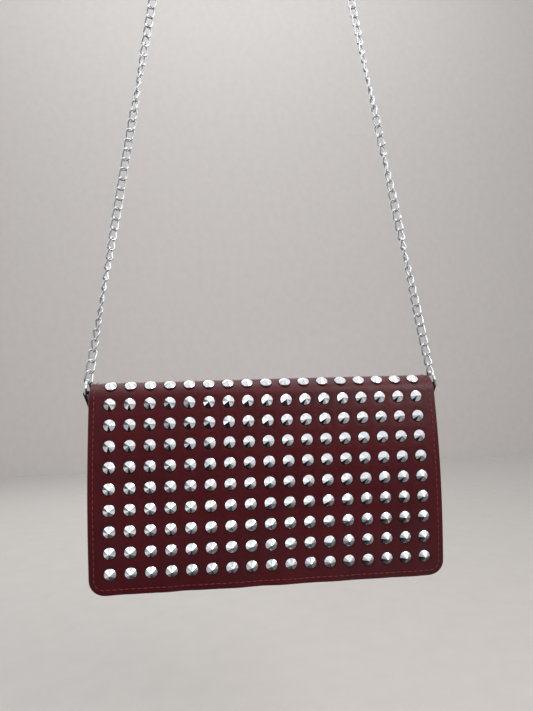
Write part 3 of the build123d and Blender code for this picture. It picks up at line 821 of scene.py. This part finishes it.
def link_template():
    """Twisted curb link of round wire, swept round a skew four-sided loop with tangent bends."""
    a, b, h = LINK_HALF_WIDTH, LINK_HALF_TWIST, LINK_HALF_LENGTH
    corners = [Vector(c) for c in ((a, b, h), (a, -b, -h), (-a, b, -h), (-a, -b, h))]
    path = []
    bend_steps = 4
    for i in range(4):
        before = (corners[i - 1] - corners[i]).normalized()
        after = (corners[(i + 1) % 4] - corners[i]).normalized()
        half = before.angle(after) / 2
        centre = corners[i] + (before + after).normalized() * (LINK_BEND / math.sin(half))
        start = corners[i] + before * (LINK_BEND / math.tan(half)) - centre
        end = corners[i] + after * (LINK_BEND / math.tan(half)) - centre
        sweep = math.pi - 2 * half
        for k in range(bend_steps + 1):
            share = k / bend_steps
            path.append(centre + (start * math.sin((1 - share) * sweep)
                                  + end * math.sin(share * sweep)) / math.sin(sweep))
    sides = 8
    vertices = []
    faces = []
    count = len(path)
    for i, point in enumerate(path):
        tangent = (path[(i + 1) % count] - path[i - 1]).normalized()
        first = (point - tangent * point.dot(tangent)).normalized()
        second = tangent.cross(first)
        for k in range(sides):
            turn = 2 * math.pi * k / sides
            offset = first * math.cos(turn) + second * math.sin(turn)
            vertices.append(point + offset * (LINK_WIRE / 2))
    for i in range(count):
        for k in range(sides):
            a0 = i * sides + k
            a1 = i * sides + (k + 1) % sides
            b0 = ((i + 1) % count) * sides + k
            b1 = ((i + 1) % count) * sides + (k + 1) % sides
            faces.append([a0, a1, b1, b0])
    return template_from("link", vertices, faces, 80)


LOWER_LINKS = 40
UPPER_LINKS = 78


def make_chain():
    """The strap's five lengths, each riding the body that holds it."""
    link = link_template()
    lengths = (
        ("chain_left_lower", 0, LOWER_LINKS, "strap_lower"),
        ("chain_left_upper", LOWER_LINKS, UPPER_LINKS, "strap_upper"),
        ("chain_crown", UPPER_LINKS, LINK_COUNT - UPPER_LINKS, "strap_crown"),
        ("chain_right_upper", LINK_COUNT - UPPER_LINKS, LINK_COUNT - LOWER_LINKS, "strap_upper"),
        ("chain_right_lower", LINK_COUNT - LOWER_LINKS, LINK_COUNT, "strap_lower"),
    )
    for node, first, last, body in lengths:
        piece = set_out(node + "_links", [strap_place(i) for i in range(first, last)], link, CHAIN_NICKEL)
        finish_piece(piece, body, (node,))
    discard(link)


# ---------------------------------------------------------------- body of the wallet
def panel(name, node, materials, body, radius=0.3 * MM):
    """Rounded board that takes a CAD panel's place and size."""
    low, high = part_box(node)
    return finish_piece(rounded_board(name, low, high, radius, materials), body, (node,))


def make_body_panels(stitch):
    """Front panel, base, linings and the zipped divider's walls."""
    panel("front_panel_leather", "front_panel", [CALF, EDGE_PAINT], "front_panel",
          0.5 * MM)
    panel("front_lining_cloth", "front_lining", [LINING_TWILL, LINING_TWILL], "front_panel")
    low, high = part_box("front_panel")
    seam = border_places(low.z, high.z, high.x, STITCH_INSET + 0.4 * MM)
    places = [(Vector((x, low.y, z)), Vector((0, -1, 0)), Vector((math.cos(turn), 0, -math.sin(turn))))
              for x, z, turn in seam if z < high.z - STITCH_INSET]
    across = round(2 * (high.x - STITCH_INSET) / STITCH_PITCH)
    for k in range(across):
        x = ((k + 0.5) / across * 2 - 1) * (high.x - STITCH_INSET)
        places.append((Vector((x, low.y, high.z - STITCH_INSET)), Vector((0, -1, 0)), Vector((1, 0, 0))))
    finish_piece(set_out("front_panel_stitching", places, stitch, TONAL_THREAD),
                 "front_panel")
    panel("base_leather", "base_panel", [CALF, CALF], "wallet", 0.5 * MM)
    for node in ("pocket_wall_front", "pocket_wall_rear", "pocket_floor"):
        panel(node + "_leather", node, [SPLIT_LEATHER, EDGE_PAINT], "wallet")
    for node in ("zip_tape_front", "zip_tape_rear"):
        panel(node + "_cloth", node, [ZIP_TAPE, ZIP_TAPE], "wallet", 0.15 * MM)


def make_card_slots(stitch):
    """Stepped card slots, each leaf with a shallow thumb dip in its painted top edge."""
    for node in ("card_slot_top", "card_slot_middle", "card_slot_low"):
        low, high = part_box(node)
        leaves = []
        for side in (-1, 1):
            inner = 5 * MM
            x_low, x_high = (inner, high.x) if side > 0 else (low.x, -inner)
            leaves.append(slot_leaf(node, x_low, x_high, low, high))
        finish_piece(joined(node + "_leather", leaves), "wallet", (node,))
    places = []
    for node in ("card_slot_top", "card_slot_middle", "card_slot_low"):
        low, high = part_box(node)
        for side in (-1, 1):
            count = round((high.x - 5 * MM) / STITCH_PITCH)
            for k in range(count):
                x = side * (5 * MM + (k + 0.5) * (high.x - 5 * MM) / count)
                places.append((Vector((x, low.y, high.z - 6.5 * MM)), Vector((0, -1, 0)), Vector((1, 0, 0))))
    finish_piece(set_out("card_slot_stitching", places, stitch, TONAL_THREAD), "wallet")


def thin_sheet(name, vertices, rows, columns, materials):
    """Closed sheet from the points of its two faces, row by row; its narrow edge takes the second finish."""
    layer = (rows + 1) * (columns + 1)
    faces = []
    finishes = []
    for first in (0, layer):
        for j in range(rows):
            for i in range(columns):
                a = first + j * (columns + 1) + i
                faces.append([a, a + 1, a + columns + 2, a + columns + 1])
                finishes.append(0)
    loop = grid_rim(0, rows, columns)
    for k, a in enumerate(loop):
        b = loop[(k + 1) % len(loop)]
        faces.append([a, b, b + layer, a + layer])
        finishes.append(1)
    return new_piece(name, vertices, faces, materials, finishes)


def slot_leaf(name, x_low, x_high, low, high):
    """One leaf of thin leather whose top edge dips in the middle."""
    dip = 3.2 * MM
    columns = 40
    rows = 4
    vertices = []
    for y in (low.y, high.y):
        for j in range(rows + 1):
            for i in range(columns + 1):
                u = i / columns
                top = high.z - dip * math.exp(-((u - 0.5) / 0.16) ** 4)
                vertices.append((x_low + u * (x_high - x_low), y, low.z + (top - low.z) * j / rows))
    return thin_sheet(name + "_leaf", vertices, rows, columns, [SPLIT_LEATHER, EDGE_PAINT])


def make_gussets():
    """Soft side walls, each with a bellows fold in front of the ring tab."""
    low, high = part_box("gusset_right")
    thickness = 0.8 * MM
    outer_x = high.x
    depth = high.x - low.x
    front_y = FRONT_HIGH.y + 0.55 * MM
    fold_end = front_y + 3.1 * MM
    steps = 40
    plan = []
    for i in range(steps + 1):
        share = i / steps
        y = front_y + (high.y - front_y) * share
        inward = 0.0
        if y < fold_end:
            inward = (depth - thickness) * math.sin(math.pi * (y - front_y) / (fold_end - front_y)) ** 1.4
        plan.append(Vector((outer_x - inward, y, 0)))
    for side, node in ((1, "gusset_right"), (-1, "gusset_left")):
        piece = gusset_wall(node + "_leather", plan, thickness, low.z, high.z, side)
        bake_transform(piece)
        finish_piece(piece, None, (node,))


def gusset_wall(name, plan, thickness, z_low, z_high, side):
    """Sheet that follows a plan line, as tall as the wallet's body, on one side of it."""
    rows = 24
    outer = []
    inner = []
    for i, point in enumerate(plan):
        ahead = plan[min(i + 1, len(plan) - 1)]
        behind = plan[max(i - 1, 0)]
        run = (ahead - behind).normalized()
        normal = Vector((run.y, -run.x, 0))
        outer.append(point)
        inner.append(point - normal * thickness)
    vertices = []
    for line in (outer, inner):
        for j in range(rows + 1):
            z = z_low + (z_high - z_low) * j / rows
            vertices += [(side * p.x, p.y, z) for p in line]
    return thin_sheet(name, vertices, rows, len(plan) - 1, [CALF, EDGE_PAINT])


def make_ring_tabs():
    """Leather strip folded round each D-ring's bar and riveted to the gusset."""
    for side, end in ((1, "right"), (-1, "left")):
        low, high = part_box("ring_tab_" + end)
        ring_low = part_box("d_ring_" + end)[0]
        bar = Vector((side * RING_X, 0, ring_low.z + 0.9 * MM))
        leaf = 1.0 * MM
        inner_x = (low.x if side > 0 else -high.x)
        foot = low.z
        neck = FRONT_HIGH.z - 4 * MM
        radius = 0.98 * MM + leaf / 2
        path = [Vector((inner_x + 1.5 * leaf, 0, foot)), Vector((inner_x + 1.5 * leaf, 0, neck + 3 * MM)),
                Vector((inner_x + 1.65 * leaf, 0, neck + 5.5 * MM))]
        centre = Vector((RING_X, 0, bar.z))
        for k in range(15):
            angle = math.radians(-35 + 225 * k / 14)
            path.append(centre + Vector((math.cos(angle), 0, math.sin(angle))) * radius)
        path += [Vector((inner_x + 0.7 * leaf, 0, neck + 6 * MM)),
                 Vector((inner_x + 0.5 * leaf, 0, neck + 3 * MM)), Vector((inner_x + 0.5 * leaf, 0, foot))]
        tab = strip_along("ring_tab_leather_" + end, path, leaf, low.y, high.y, side)
        finish_piece(tab, "wallet", ("ring_tab_" + end,))


def strip_along(name, path, thickness, y_low, y_high, side):
    """Leather strip with rounded edges that follows a line in the XZ plane."""
    rounding = [(0.0, 0.0), (0.12, 0.62), (0.3, 0.92), (0.5, 1.0), (0.7, 0.92), (0.88, 0.62), (1.0, 0.0)]
    width = y_high - y_low
    edge = 0.35 * MM
    section = []
    for share, reach in rounding:
        section.append((y_low + edge * (1 - reach), (share - 0.5) * thickness))
    for share, reach in rounding[::-1]:
        section.append((y_low + width - edge * (1 - reach), (share - 0.5) * thickness))
    vertices = []
    faces = []
    count = len(section)
    for i, point in enumerate(path):
        ahead = path[min(i + 1, len(path) - 1)]
        behind = path[max(i - 1, 0)]
        run = (ahead - behind).normalized()
        normal = Vector((run.z, 0, -run.x))
        for y, offset in section:
            at = point + normal * offset
            vertices.append((side * at.x, y, at.z))
    for i in range(len(path) - 1):
        for k in range(count):
            a = i * count + k
            b = i * count + (k + 1) % count
            faces.append([a, b, b + count, a + count])
    faces.append(list(range(count)))
    faces.append([(len(path) - 1) * count + k for k in range(count)])
    return new_piece(name, vertices, faces, [CALF], smooth_angle=50)


# ---------------------------------------------------------------- metal fittings
def make_snap():
    """Magnetic snap: pressed rings on the socket and a turned disc with a nub."""
    low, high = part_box("snap_socket")
    centre = (low + high) / 2
    radius = (high.x - low.x) / 2
    height = high.y - low.y
    hole = 2.5 * MM
    profile = [(0, 0), (radius, 0), (radius, height - 0.5 * MM), (radius - 0.5 * MM, height),
               (radius - 2.0 * MM, height), (radius - 2.3 * MM, height - 0.25 * MM),
               (hole + 0.5 * MM, height - 0.25 * MM),
               (hole, height - 0.6 * MM), (hole, 1.0 * MM), (0, 1.0 * MM)]
    socket = lathe("snap_socket_rings", profile, (centre.x, high.y, centre.z), (0, -1, 0), [SNAP_STEEL])
    finish_piece(socket, "front_panel", ("snap_socket",))
    s = 28 * MM / math.cos(BOW)
    face = skin_point(0, s, 2.5 * MM)
    inward = -skin_normal(s)
    disc_height = low.y - face.y - 1.0 * MM
    nub = 1.8 * MM
    profile = [(0, -0.1 * MM), (radius, -0.1 * MM), (radius, disc_height - 0.5 * MM),
               (radius - 0.5 * MM, disc_height), (nub, disc_height), (nub, disc_height + 1.0 * MM),
               (nub - 0.4 * MM, disc_height + 1.4 * MM), (0, disc_height + 1.4 * MM)]
    disc = lathe("snap_disc_turned", profile, face, inward, [SNAP_STEEL])
    finish_piece(disc, "flap", ("snap_disc",))


def make_rivets():
    """Domed rivet heads on the ring tabs."""
    low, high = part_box("tab_rivets")
    centre = (low + high) / 2
    radius = (high.z - low.z) / 2
    heads = []
    for side in (-1, 1):
        reach = high.x - 0.8 * MM
        profile = [(0, -2.0 * MM), (1.0 * MM, -2.0 * MM), (1.0 * MM, 0), (radius, 0)]
        profile += [(radius * math.cos(a), 0.15 * MM + 0.75 * MM * math.sin(a))
                    for a in [math.radians(d) for d in (0, 18, 36, 54, 72, 90)]]
        seat = (side * reach, centre.y, centre.z)
        heads.append(lathe("rivet", profile, seat, (side, 0, 0), [CHAIN_NICKEL], 24))
    finish_piece(joined("tab_rivet_heads", heads), "wallet", ("tab_rivets",))


def zip_tooth_template():
    """Moulded zip element: a flat block with a rounded, slightly raised head."""
    work = bmesh.new()
    bmesh.ops.create_cube(work, size=1)
    size = (1.1 * MM, 2.0 * MM, 1.8 * MM)
    for vertex in work.verts:
        vertex.co = Vector([vertex.co[i] * size[i] for i in range(3)])
        if vertex.co.y > 0:
            vertex.co.x *= 1.12
    bmesh.ops.bevel(work, geom=list(work.edges), offset=0.22 * MM, segments=1, affect="EDGES")
    mesh = bpy.data.meshes.new("zip_tooth")
    work.to_mesh(mesh)
    work.free()
    piece = bpy.data.objects.new("zip_tooth", mesh)
    bpy.context.scene.collection.objects.link(piece)
    return piece


def make_zip():
    """Two interlocked rows of teeth, the stops, and the pocket's leather end tabs."""
    low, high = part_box("zip_teeth")
    pitch = 1.35 * MM
    count = round((high.x - low.x - 1.1 * MM) / pitch) + 1
    centre = (low + high) / 2
    tooth = zip_tooth_template()
    places = []
    for index in range(count):
        x = (index - (count - 1) / 2) * pitch
        inward = 1 if index % 2 else -1
        y = centre.y - inward * 0.5 * MM
        places.append((Vector((x, y, centre.z)), Vector((0, 0, 1)), Vector((inward, 0, 0))))
    finish_piece(set_out("zip_teeth_row", places, tooth, ZIP_NICKEL), "wallet", ("zip_teeth",))
    discard(tooth)
    low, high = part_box("zip_stops")
    inner = high.x - 2.4 * MM
    stops = [rounded_board("stop", (x0, low.y, low.z), (x1, high.y, high.z), 0.4 * MM, [ZIP_NICKEL], 0)
             for x0, x1 in ((-high.x, -inner), (inner, high.x))]
    finish_piece(joined("zip_stop_blocks", stops), "wallet", ("zip_stops",))
    low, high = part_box("pocket_end_tabs")
    inner = high.x - 5.1 * MM
    tabs = [rounded_board("tab", (x0, low.y, low.z), (x1, high.y, high.z), 0.5 * MM, [SPLIT_LEATHER], 0)
            for x0, x1 in ((-high.x, -inner), (inner, high.x))]
    finish_piece(joined("pocket_end_leather", tabs), "wallet", ("pocket_end_tabs",))


def outline_plate(name, outline, z_low, z_high, bevel, material):
    """Flat metal plate from an outline, with bevelled edges."""
    work = bmesh.new()
    rim = [work.verts.new((x, y, z_low)) for x, y in outline]
    face = work.faces.new(rim)
    lifted = bmesh.ops.extrude_face_region(work, geom=[face])
    for item in lifted["geom"]:
        if isinstance(item, bmesh.types.BMVert):
            item.co.z = z_high
    bmesh.ops.recalc_face_normals(work, faces=work.faces)
    flat = [e for e in work.edges if abs(e.verts[0].co.z - e.verts[1].co.z) < 1e-9]
    bmesh.ops.bevel(work, geom=flat, offset=bevel, segments=2, profile=0.5, affect="EDGES")
    mesh = bpy.data.meshes.new(name)
    work.to_mesh(mesh)
    work.free()
    mesh.materials.append(material)
    piece = bpy.data.objects.new(name, mesh)
    bpy.context.scene.collection.objects.link(piece)
    return piece


def make_slider():
    """Waisted slider plates with folded lips, a wire bail, and a tapered pull with a round eye."""
    low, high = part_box("zip_slider")
    centre = (low + high) / 2
    half = (high.x - low.x) / 2
    wide = (high.y - low.y) / 2
    top = high.z - 3.5 * MM
    steps = 24
    plate = []
    for i in range(steps):
        angle = 2 * math.pi * i / steps
        cosine, sine = math.cos(angle), math.sin(angle)
        x = half * math.copysign(abs(cosine) ** 0.6, cosine)
        waist = 1 - 0.16 * (1 - abs(x / half))
        plate.append((centre.x + x, centre.y + wide * waist * math.copysign(abs(sine) ** 0.5, sine)))
    narrow = [(x, centre.y + (y - centre.y) * 0.6) for x, y in plate]
    parts = [outline_plate("slider_top", plate, top, top + 0.8 * MM, 0.25 * MM, ZIP_NICKEL),
             outline_plate("slider_under", narrow, low.z, low.z + 0.8 * MM, 0.2 * MM, ZIP_NICKEL)]
    for side in (-1, 1):
        y = centre.y + side * (wide - 0.75 * MM)
        parts.append(rounded_board("lip", (centre.x - half * 0.8, y - 0.3 * MM, top - 0.8 * MM),
                                   (centre.x + half * 0.8, y + 0.3 * MM, top + 0.2 * MM), 0.2 * MM,
                                   [ZIP_NICKEL], 0))
    parts.append(bail(centre.x, centre.y, top + 0.6 * MM, high.z))
    finish_piece(joined("zip_slider_cast", parts), "zip_slider", ("zip_slider",))
    make_pull(centre.x, centre.y)


def bail(x, y, z_low, z_high):
    """Arch of flat wire over the slider's top plate."""
    inner, wire = 1.0 * MM, 0.7 * MM
    middle = inner + wire / 2
    spring = z_high - middle - wire / 2
    line = [Vector((-middle, 0, z_low))]
    for k in range(13):
        angle = math.pi - math.pi * k / 12
        line.append(Vector((middle * math.cos(angle), 0, spring + middle * math.sin(angle))))
    line.append(Vector((middle, 0, z_low)))
    line = [point + Vector((x, 0, 0)) for point in line]
    piece = strip_along("bail", line, wire, y - 0.8 * MM, y + 0.8 * MM, 1)
    piece.data.materials[0] = ZIP_NICKEL
    return piece


def make_pull(x, y):
    """Zip pull: a rod in the bail, two arms and a tapered tab."""
    low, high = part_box("zip_pull")
    z = (low.z + high.z) / 2
    reach = high.x - 0.5 * MM - low.x
    arm_half = (high.y - low.y) / 2
    tab_end = x - reach
    rod = lathe("rod", [(0, -1.9 * MM), (0.5 * MM, -1.9 * MM), (0.5 * MM, 1.9 * MM), (0, 1.9 * MM)],
                (x, y, z), (0, 1, 0), [ZIP_NICKEL], 16)
    parts = [rod]
    for side in (-1, 1):
        y_low, y_high = sorted((y + side * 1.1 * MM, y + side * 1.9 * MM))
        parts.append(rounded_board("arm", (x - 4.8 * MM, y_low, z - 0.4 * MM),
                                   (x + 0.1 * MM, y_high, z + 0.4 * MM),
                                   0.2 * MM, [ZIP_NICKEL], 0))
    outline = []
    steps = 12
    for i in range(steps + 1):
        angle = math.pi / 2 + math.pi * i / steps
        outline.append((tab_end + 2.4 * MM + 2.4 * MM * math.cos(angle), y + arm_half * math.sin(angle)))
    outline += [(x - 3.9 * MM, y - 0.8 * arm_half), (x - 3.6 * MM, y - 0.7 * arm_half),
                (x - 3.6 * MM, y + 0.7 * arm_half), (x - 3.9 * MM, y + 0.8 * arm_half)]
    parts.append(outline_plate("tab", outline, z - 0.4 * MM, z + 0.4 * MM, 0.18 * MM, ZIP_NICKEL))
    finish_piece(joined("zip_pull_tab", parts), "zip_pull", ("zip_pull",))


def finish_cad_nodes():
    """CAD pieces whose own shape is right get their real finish."""
    finishes = {"d_ring_left": CHAIN_NICKEL, "d_ring_right": CHAIN_NICKEL,
                "flap_stud_washers": STUD_NICKEL, "spine_stud_washers": STUD_NICKEL}
    for node, material in finishes.items():
        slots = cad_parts[node].material_slots
        for slot in slots:
            slot.material = material


# ---------------------------------------------------------------- stage, light and camera
def matt_paint(name, hex_colour):
    """Eggshell wall paint with the faint mottling of a roller."""
    material, tree, shader = new_material(name)
    vector = object_coordinates(tree, 40)
    mottle = add(tree, "ShaderNodeTexNoise", links={"Vector": vector, "Scale": 1.0, "Detail": 3.0})
    base = linear(hex_colour)
    dark = tuple(c * 0.96 for c in base[:3]) + (1.0,)
    colour = ramp(tree, mottle.outputs["Fac"], [(0.3, dark), (0.7, base)])
    tree.links.new(colour, shader.inputs["Base Color"])
    shader.inputs["Roughness"].default_value = 0.7
    return material


def make_stage():
    """Pale floor under the wallet and a pale wall well behind it."""
    floor_z = BOTTOM_Z - 0.16
    wall_y = 1.6
    door_paint = matt_paint("pale_door_paint", "#d3d0ce")
    floor_paint = matt_paint("pale_floor_paint", "#b9b6b3")
    for name, paint, corners in (
        ("floor", floor_paint, [(-4, -4, floor_z), (4, -4, floor_z), (4, 4, floor_z), (-4, 4, floor_z)]),
        ("wall", door_paint, [(-4, wall_y, floor_z), (4, wall_y, floor_z), (4, wall_y, 3), (-4, wall_y, 3)]),
    ):
        mesh = bpy.data.meshes.new(name)
        mesh.from_pydata(corners, [], [[0, 1, 2, 3]])
        mesh.materials.append(paint)
        plane = bpy.data.objects.new(name, mesh)
        bpy.context.scene.collection.objects.link(plane)
        plane.visible_glossy = False


# Direction of each dark patch of the mirrored room, the cosines where it starts and is full, and its grey.
DARK_PATCHES = (
    ((-0.3, -0.6, -0.74), 0.87, 0.93, 0.01),
    ((0.15, -0.98, 0.05), 0.8, 0.94, 0.05),
    ((0.75, 0.0, -0.66), 0.9, 0.96, 0.15),
    ((-0.95, -0.2, 0.25), 0.93, 0.98, 0.1),
    ((0.3, 0.1, 0.95), 0.94, 0.98, 0.12),
)


def make_world():
    """Even pale room light; metal mirrors a bright room with a few dark patches."""
    world = bpy.data.worlds.new("room")
    bpy.context.scene.world = world
    world.use_nodes = True
    tree = world.node_tree
    tree.nodes.clear()
    direction = add(tree, "ShaderNodeTexCoord").outputs["Generated"]
    split = add(tree, "ShaderNodeSeparateXYZ", links={"Vector": direction})
    height = add(tree, "ShaderNodeMapRange", links={"Value": split.outputs["Z"], "From Min": -1.0,
                                                   "From Max": 1.0})
    room = ramp(tree, height.outputs["Result"], [(0.0, grey(0.02)), (0.1, grey(0.3)), (0.25, grey(0.85)),
                                                 (0.45, grey(0.35)), (0.52, grey(0.5)), (0.66, grey(1.0)),
                                                 (1.0, grey(0.85))])
    shade = room
    for centre, edge, core, dark in DARK_PATCHES:
        near = add(tree, "ShaderNodeVectorMath", {"operation": "DOT_PRODUCT"})
        tree.links.new(direction, near.inputs[0])
        near.inputs[1].default_value = Vector(centre).normalized()
        patch = add(tree, "ShaderNodeMapRange", links={"Value": near.outputs["Value"], "From Min": edge,
                                                      "From Max": core})
        mix = add(tree, "ShaderNodeMix", {"data_type": "RGBA"}, {"Factor": patch.outputs["Result"]})
        tree.links.new(shade, mix.inputs["A"])
        mix.inputs["B"].default_value = grey(dark)
        shade = mix.outputs["Result"]
    mirrored = add(tree, "ShaderNodeBackground", links={"Color": shade, "Strength": 1.25})
    even = add(tree, "ShaderNodeBackground", links={"Color": linear("#e2e0de"), "Strength": 0.62})
    path = add(tree, "ShaderNodeLightPath")
    mixed = add(tree, "ShaderNodeMixShader", links={"Fac": path.outputs["Is Glossy Ray"]})
    tree.links.new(even.outputs["Background"], mixed.inputs[1])
    tree.links.new(mirrored.outputs["Background"], mixed.inputs[2])
    result = add(tree, "ShaderNodeOutputWorld")
    tree.links.new(mixed.outputs["Shader"], result.inputs["Surface"])


def area_light(name, position, target, size, power, hex_colour):
    """Soft box aimed at a point."""
    data = bpy.data.lights.new(name, "AREA")
    data.shape = "RECTANGLE"
    data.size, data.size_y = size
    data.energy = power
    data.color = linear(hex_colour)[:3]
    light = bpy.data.objects.new(name, data)
    light.location = position
    light.rotation_euler = (Vector(target) - Vector(position)).to_track_quat("-Z", "Y").to_euler()
    bpy.context.scene.collection.objects.link(light)


def make_lights():
    """Window-like key high on the right, soft fill on the left, and lights for the back and the wall."""
    middle = (0, 0, BOTTOM_Z + HEIGHT / 2)
    area_light("key_window", (0.55, -0.75, middle[2] + 0.62), middle, (0.5, 0.7), 7.5, "#fffaf6")
    area_light("left_fill", (-0.9, -0.6, middle[2] + 0.25), middle, (0.35, 0.9), 1.6, "#f2f5ff")
    area_light("top_strip", (0.0, -0.1, middle[2] + 0.9), middle, (0.9, 0.25), 2.5, "#ffffff")
    area_light("back_fill", (-0.4, 1.1, middle[2] + 0.7), middle, (0.8, 0.8), 3.5, "#ffffff")
    area_light("wall_wash", (0.0, 0.5, 1.6), (0, 1.6, -0.4), (2.0, 0.6), 17, "#ffffff")


def make_camera():
    """Phone-like camera a forearm's length in front of the flap, looking slightly up and to the right."""
    data = bpy.data.cameras.new("camera")
    data.lens = 26
    data.sensor_width = 36
    data.clip_start = 0.01
    camera = bpy.data.objects.new("camera", data)
    azimuth, elevation, roll = (math.radians(a) for a in (5.48, 4.07, -1.58))
    forward = Vector((math.sin(azimuth) * math.cos(elevation), math.cos(azimuth) * math.cos(elevation),
                      math.sin(elevation)))
    right = Vector((math.cos(azimuth), -math.sin(azimuth), 0))
    up = right.cross(forward)
    side = right * math.cos(roll) + up * math.sin(roll)
    over = up * math.cos(roll) - right * math.sin(roll)
    rows = [[side[i], over[i], -forward[i]] for i in range(3)]
    camera.matrix_world = Matrix.Translation((-0.0293, -0.3214, -0.5063)) @ Matrix(rows).to_4x4()
    bpy.context.scene.collection.objects.link(camera)
    bpy.context.scene.camera = camera


bpy.context.scene.view_settings.view_transform = "Standard"
make_stage()
make_world()
make_lights()
make_camera()
STITCH = stitch_template()
make_chain()
make_outer_leather()
make_lining()
make_stitching(STITCH)
make_studs()
make_body_panels(STITCH)
make_card_slots(STITCH)
make_gussets()
make_ring_tabs()
make_snap()
make_rivets()
make_zip()
make_slider()
discard(STITCH)
finish_cad_nodes()
